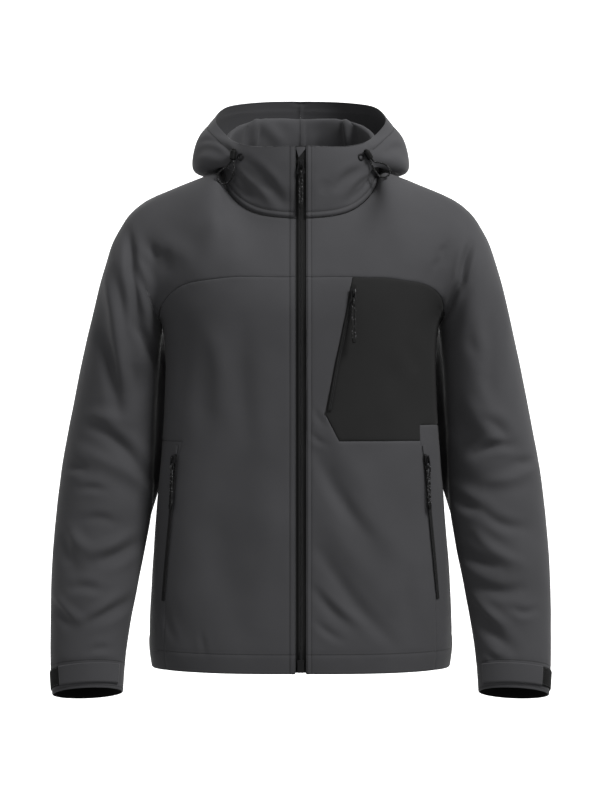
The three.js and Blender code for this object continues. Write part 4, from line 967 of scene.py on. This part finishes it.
def tape_material():
    material, shader = material_with("zip_tape", (0.009, 0.009, 0.009), 0.9, Specular_IOR_Level=0.2)
    place = object_coordinates(material, (1, 0.2, 1))
    weave = add_node(material, "ShaderNodeTexWave", Scale=520, Distortion=0.6, Detail=1)
    wire(material, place, "Vector", weave, "Vector")
    bumped(material, shader, weave, 0.5, 0.0003)
    return material


def coil_material():
    """Black moulded nylon of the coil, a little shiny."""
    material, shader = material_with("zip_coil", (0.016, 0.016, 0.017), 0.42, Specular_IOR_Level=0.25)
    grain = add_node(material, "ShaderNodeTexNoise", Scale=900, Detail=2)
    wire(material, object_coordinates(material), "Vector", grain, "Vector")
    bumped(material, shader, grain, 0.2, 0.0001)
    return material


def middle_at(bm, level):
    """The middle of a zip's cross section at that height, in x."""
    found = []
    for edge in bm.edges:
        a, b = (v.co for v in edge.verts)
        if (a.z - level) * (b.z - level) < 0:
            found.append(a.lerp(b, (level - a.z) / (b.z - a.z)).x)
    return (min(found) + max(found)) / 2 if found else None


tape = tape_material()
coil = coil_material()
turns = []
for nodes, aside, size, (top, foot) in ZIPS.values():
    bm = bmesh.new()
    for node in nodes:
        bm.from_mesh(frame["nodes"][node].data)
        frame["nodes"][node].data.materials.clear()
        frame["nodes"][node].data.materials.append(tape)
    tree = BVHTree.FromBMesh(bm)
    rows = ([], [])
    for step in range(int((top - foot) / TURN_PITCH)):
        level = top - step * TURN_PITCH
        middle = middle_at(bm, level)
        for row, side in zip(rows, (-1, 1)):
            if middle is not None:
                start = Vector((middle + side * aside * MM, IN_FRONT, level))
                place, normal, *_ = tree.ray_cast(start, FORWARD)
                if place is not None:
                    row.append((place, normal))
    bm.free()
    for row in rows:
        turns += [
            facing(a, normal, (b - a).normalized(), Vector(size) * MM)
            for (a, normal), (b, _) in zip(row, row[1:])
        ]
coils = new_piece("zip_coils", beads("zip_coils", turns))
coils.data.materials.append(coil)
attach(coils, "jacket")


# Hardware: black enamelled sliders, tabs, eyelets and end box, moulded soft ends and locks, and the
# folded cloth garages, each a copy of its solid with rounded edges.
def plain_material(name, color, roughness, grain_size, strength):
    material, shader = material_with(name, color, roughness, Specular_IOR_Level=0.15)
    grain = add_node(material, "ShaderNodeTexNoise", Scale=grain_size, Detail=3)
    wire(material, object_coordinates(material), "Vector", grain, "Vector")
    bumped(material, shader, grain, strength, 0.0002)
    return material


enamel = plain_material("black_enamel", (0.008, 0.008, 0.0085), 0.3, 700, 0.12)
moulded = plain_material("black_rubber", (0.004, 0.004, 0.004), 0.5, 1200, 0.2)
PULLS = ("main", "chest", "hand_left", "hand_right")
HARDWARE = [  # node, body it rides, slot, material, rounding of its edges in millimetres
    ("zip_box", "jacket", "enamel", enamel, 0.5),
    ("zip_garage", "jacket", "shell", charcoal, 0.4),
    ("hand_garage_left", "jacket", "shell", charcoal, 0.25),
    ("hand_garage_right", "jacket", "shell", charcoal, 0.25),
    ("eyelet_left", "jacket", "enamel", enamel, 0.3),
    ("eyelet_right", "jacket", "enamel", enamel, 0.3),
    ("cord_lock_left", "jacket", "enamel", moulded, 0.8),
    ("cord_lock_right", "jacket", "enamel", moulded, 0.8),
]
for pull in PULLS:
    HARDWARE += [
        (pull + "_slider", "jacket", "enamel", enamel, 0.4),
        (pull + "_pull_tab", pull + "_pull", "enamel", enamel, 0.3),
        (pull + "_pull_end", pull + "_pull", "enamel", moulded, 0.9),
    ]
FLAT_JOINT = math.radians(2)  # faces that turn by less than this are one face
SHARP = math.radians(28)  # an edge that turns by more than this is rounded
for node, body, slot, material, width in HARDWARE:
    bm = merged_copy(node)
    bmesh.ops.dissolve_limit(bm, angle_limit=FLAT_JOINT, verts=bm.verts, edges=bm.edges)
    part = new_piece("fine_" + node, smooth_mesh(bm, node))
    part.data.materials.clear()
    part.data.materials.append(material)
    edges = part.modifiers.new("edges", "BEVEL")
    edges.width = width * MM
    edges.segments = 3
    edges.limit_method = "ANGLE"
    edges.angle_limit = SHARP
    edges.harden_normals = True
    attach(part, body)
    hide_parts(node)

# The main zip's insertion pin, a rounded bar of the same enamel that stands out of the end box.
UP = Vector((0, 0, 1))
PIN_SIZE = Vector((7.5, 1.9, 1.1)) * MM  # half of its length, width and depth
PIN_RISE = 5.5 * MM  # its middle above the box
PIN_SET_BACK = 1.4 * MM  # and behind the box's front
low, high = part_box("zip_box")
pin_place = Vector(((low.x + high.x) / 2, low.y + PIN_SET_BACK, high.z + PIN_RISE))
pin = new_piece("zip_pin", beads("zip_pin", [facing(pin_place, -FORWARD, UP, PIN_SIZE)], 3))
pin.data.materials.append(enamel)
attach(pin, "jacket")


# Pull cords: each is one black flecked cord, doubled through the foot of its tab. Its two legs run
# down side by side into the moulded end, each a little wavy.
TAB_FOOT = {"main": 14, "chest": 13, "hand_left": 13, "hand_right": 13}  # mm below the hinge
REACH = {"main": 62, "chest": 70, "hand_left": 70, "hand_right": 70}  # the same, to the end's foot
PULL_RADIUS = 1.3  # this and the rest in millimetres
LEG_APART = 1.75  # from the middle to a leg
LEG_TOP = 9  # from the tab's foot down to where the legs draw together
LEG_STEPS = 16
LEG_SWAY = 0.35
SWAY_OUT = 0.8  # how far a leg sways out, as a share of how far it sways across
SWAY_LENGTH = 9.0
END_INSIDE = 7.2  # how far a leg's end stops above the end's foot
joints = {joint["name"]: joint for joint in frame["joints"]}


def pull_route(foot, reach):
    """Points across, along and out from the hinge: up one leg, through the tab and down the other."""
    low, high = END_INSIDE - reach, -foot - LEG_TOP
    leg = []
    for step in range(LEG_STEPS + 1):
        along = low + (high - low) * step / LEG_STEPS
        sway = LEG_SWAY * math.sin(2 * math.pi * along / SWAY_LENGTH)
        leg.append((LEG_APART + sway, along, SWAY_OUT * sway))
    near =[*leg, (1.5, -foot - 4, 1.4), (0.8, -foot - 1, 2.5), (0.2, -foot + 2.2, 2.6)]
    back_leg = [(-a, b, -o) for a, b, o in near]
    return [*near, (0, -foot + 4.4, 0), *reversed(back_leg)]


for pull in PULLS:
    joint = joints[pull + "_pull_hinge"]
    across = -Vector(joint["axis"])
    end_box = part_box(pull + "_pull_end")
    hinge = Vector(joint["pos_m"])
    down = (sum(end_box, Vector()) / 2 - hinge).normalized()
    down = (down - across * down.dot(across)).normalized()
    out = across.cross(-down)
    points = [
        hinge + (across * a - down * b + out * o) * MM
        for a, b, o in pull_route(TAB_FOOT[pull], REACH[pull])
    ]
    cord = cord_on(pull + "_cord", rounded_line(points, 3), PULL_RADIUS * MM)
    cord.data.materials.append(braid)
    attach(cord, pull + "_pull")
    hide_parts(pull + "_pull_cord")


# Floor, backdrop and light: white paper that runs up behind the jacket, lit to plain white. A broad
# light hangs above, a little in front and to the wearer's left, and the room's even light fills in.
PAPER = (0.9, 0.9, 0.9)
PAPER_LIGHT = 0.85
PAPER_FROM = 0.6  # y of its front edge, behind the jacket so that it lights nothing from below
PAPER_HALF_WIDTH = 8
FLOOR_LEVEL = -1.1
PAPER_STEPS = ((3, 0), (1.5, 0.4), (0.5, 1.2), (0, 6))  # back and up from the edge, in metres
ROOM_LIGHT = 0.47


def paper_sweep():
    bm = bmesh.new()
    sides = (-PAPER_HALF_WIDTH, PAPER_HALF_WIDTH)
    edge = bm.edges.new([bm.verts.new((x, PAPER_FROM, FLOOR_LEVEL)) for x in sides])
    for step, rise in PAPER_STEPS:
        moved = bmesh.ops.extrude_edge_only(bm, edges=[edge])["geom"]
        fresh = [v for v in moved if isinstance(v, bmesh.types.BMVert)]
        bmesh.ops.translate(bm, verts=fresh, vec=(0, step, rise))
        edge = bm.edges.get(fresh)
    bmesh.ops.recalc_face_normals(bm, faces=bm.faces)
    paper = new_piece("paper", smooth_mesh(bm, "paper"))
    white, shader = material_with("paper", PAPER, 0.9)
    shader.inputs["Emission Color"].default_value = (1, 1, 1, 1)
    shader.inputs["Emission Strength"].default_value = PAPER_LIGHT
    paper.data.materials.append(white)


paper_sweep()


def soft_light(name, place, size, power):
    lamp = bpy.data.lights.new(name, "AREA")
    lamp.shape = "DISK"
    lamp.size = size
    lamp.energy = power
    light = bpy.data.objects.new(name, lamp)
    light.location = place
    aim = Vector((0, 0, VIEW_LEVEL)) - Vector(place)
    light.rotation_euler = aim.to_track_quat("-Z", "Y").to_euler()
    bpy.context.scene.collection.objects.link(light)


soft_light("key", (1.8, -1.8, 2.3), 1.3, 150)
soft_light("fill", (-2.4, -3.0, 0.6), 2.0, 6)
world = bpy.data.worlds.new("studio")
world.use_nodes = True
room = world.node_tree.nodes["Background"]
room.inputs["Color"].default_value = (1, 1, 1, 1)
room.inputs["Strength"].default_value = ROOM_LIGHT
bpy.context.scene.world = world
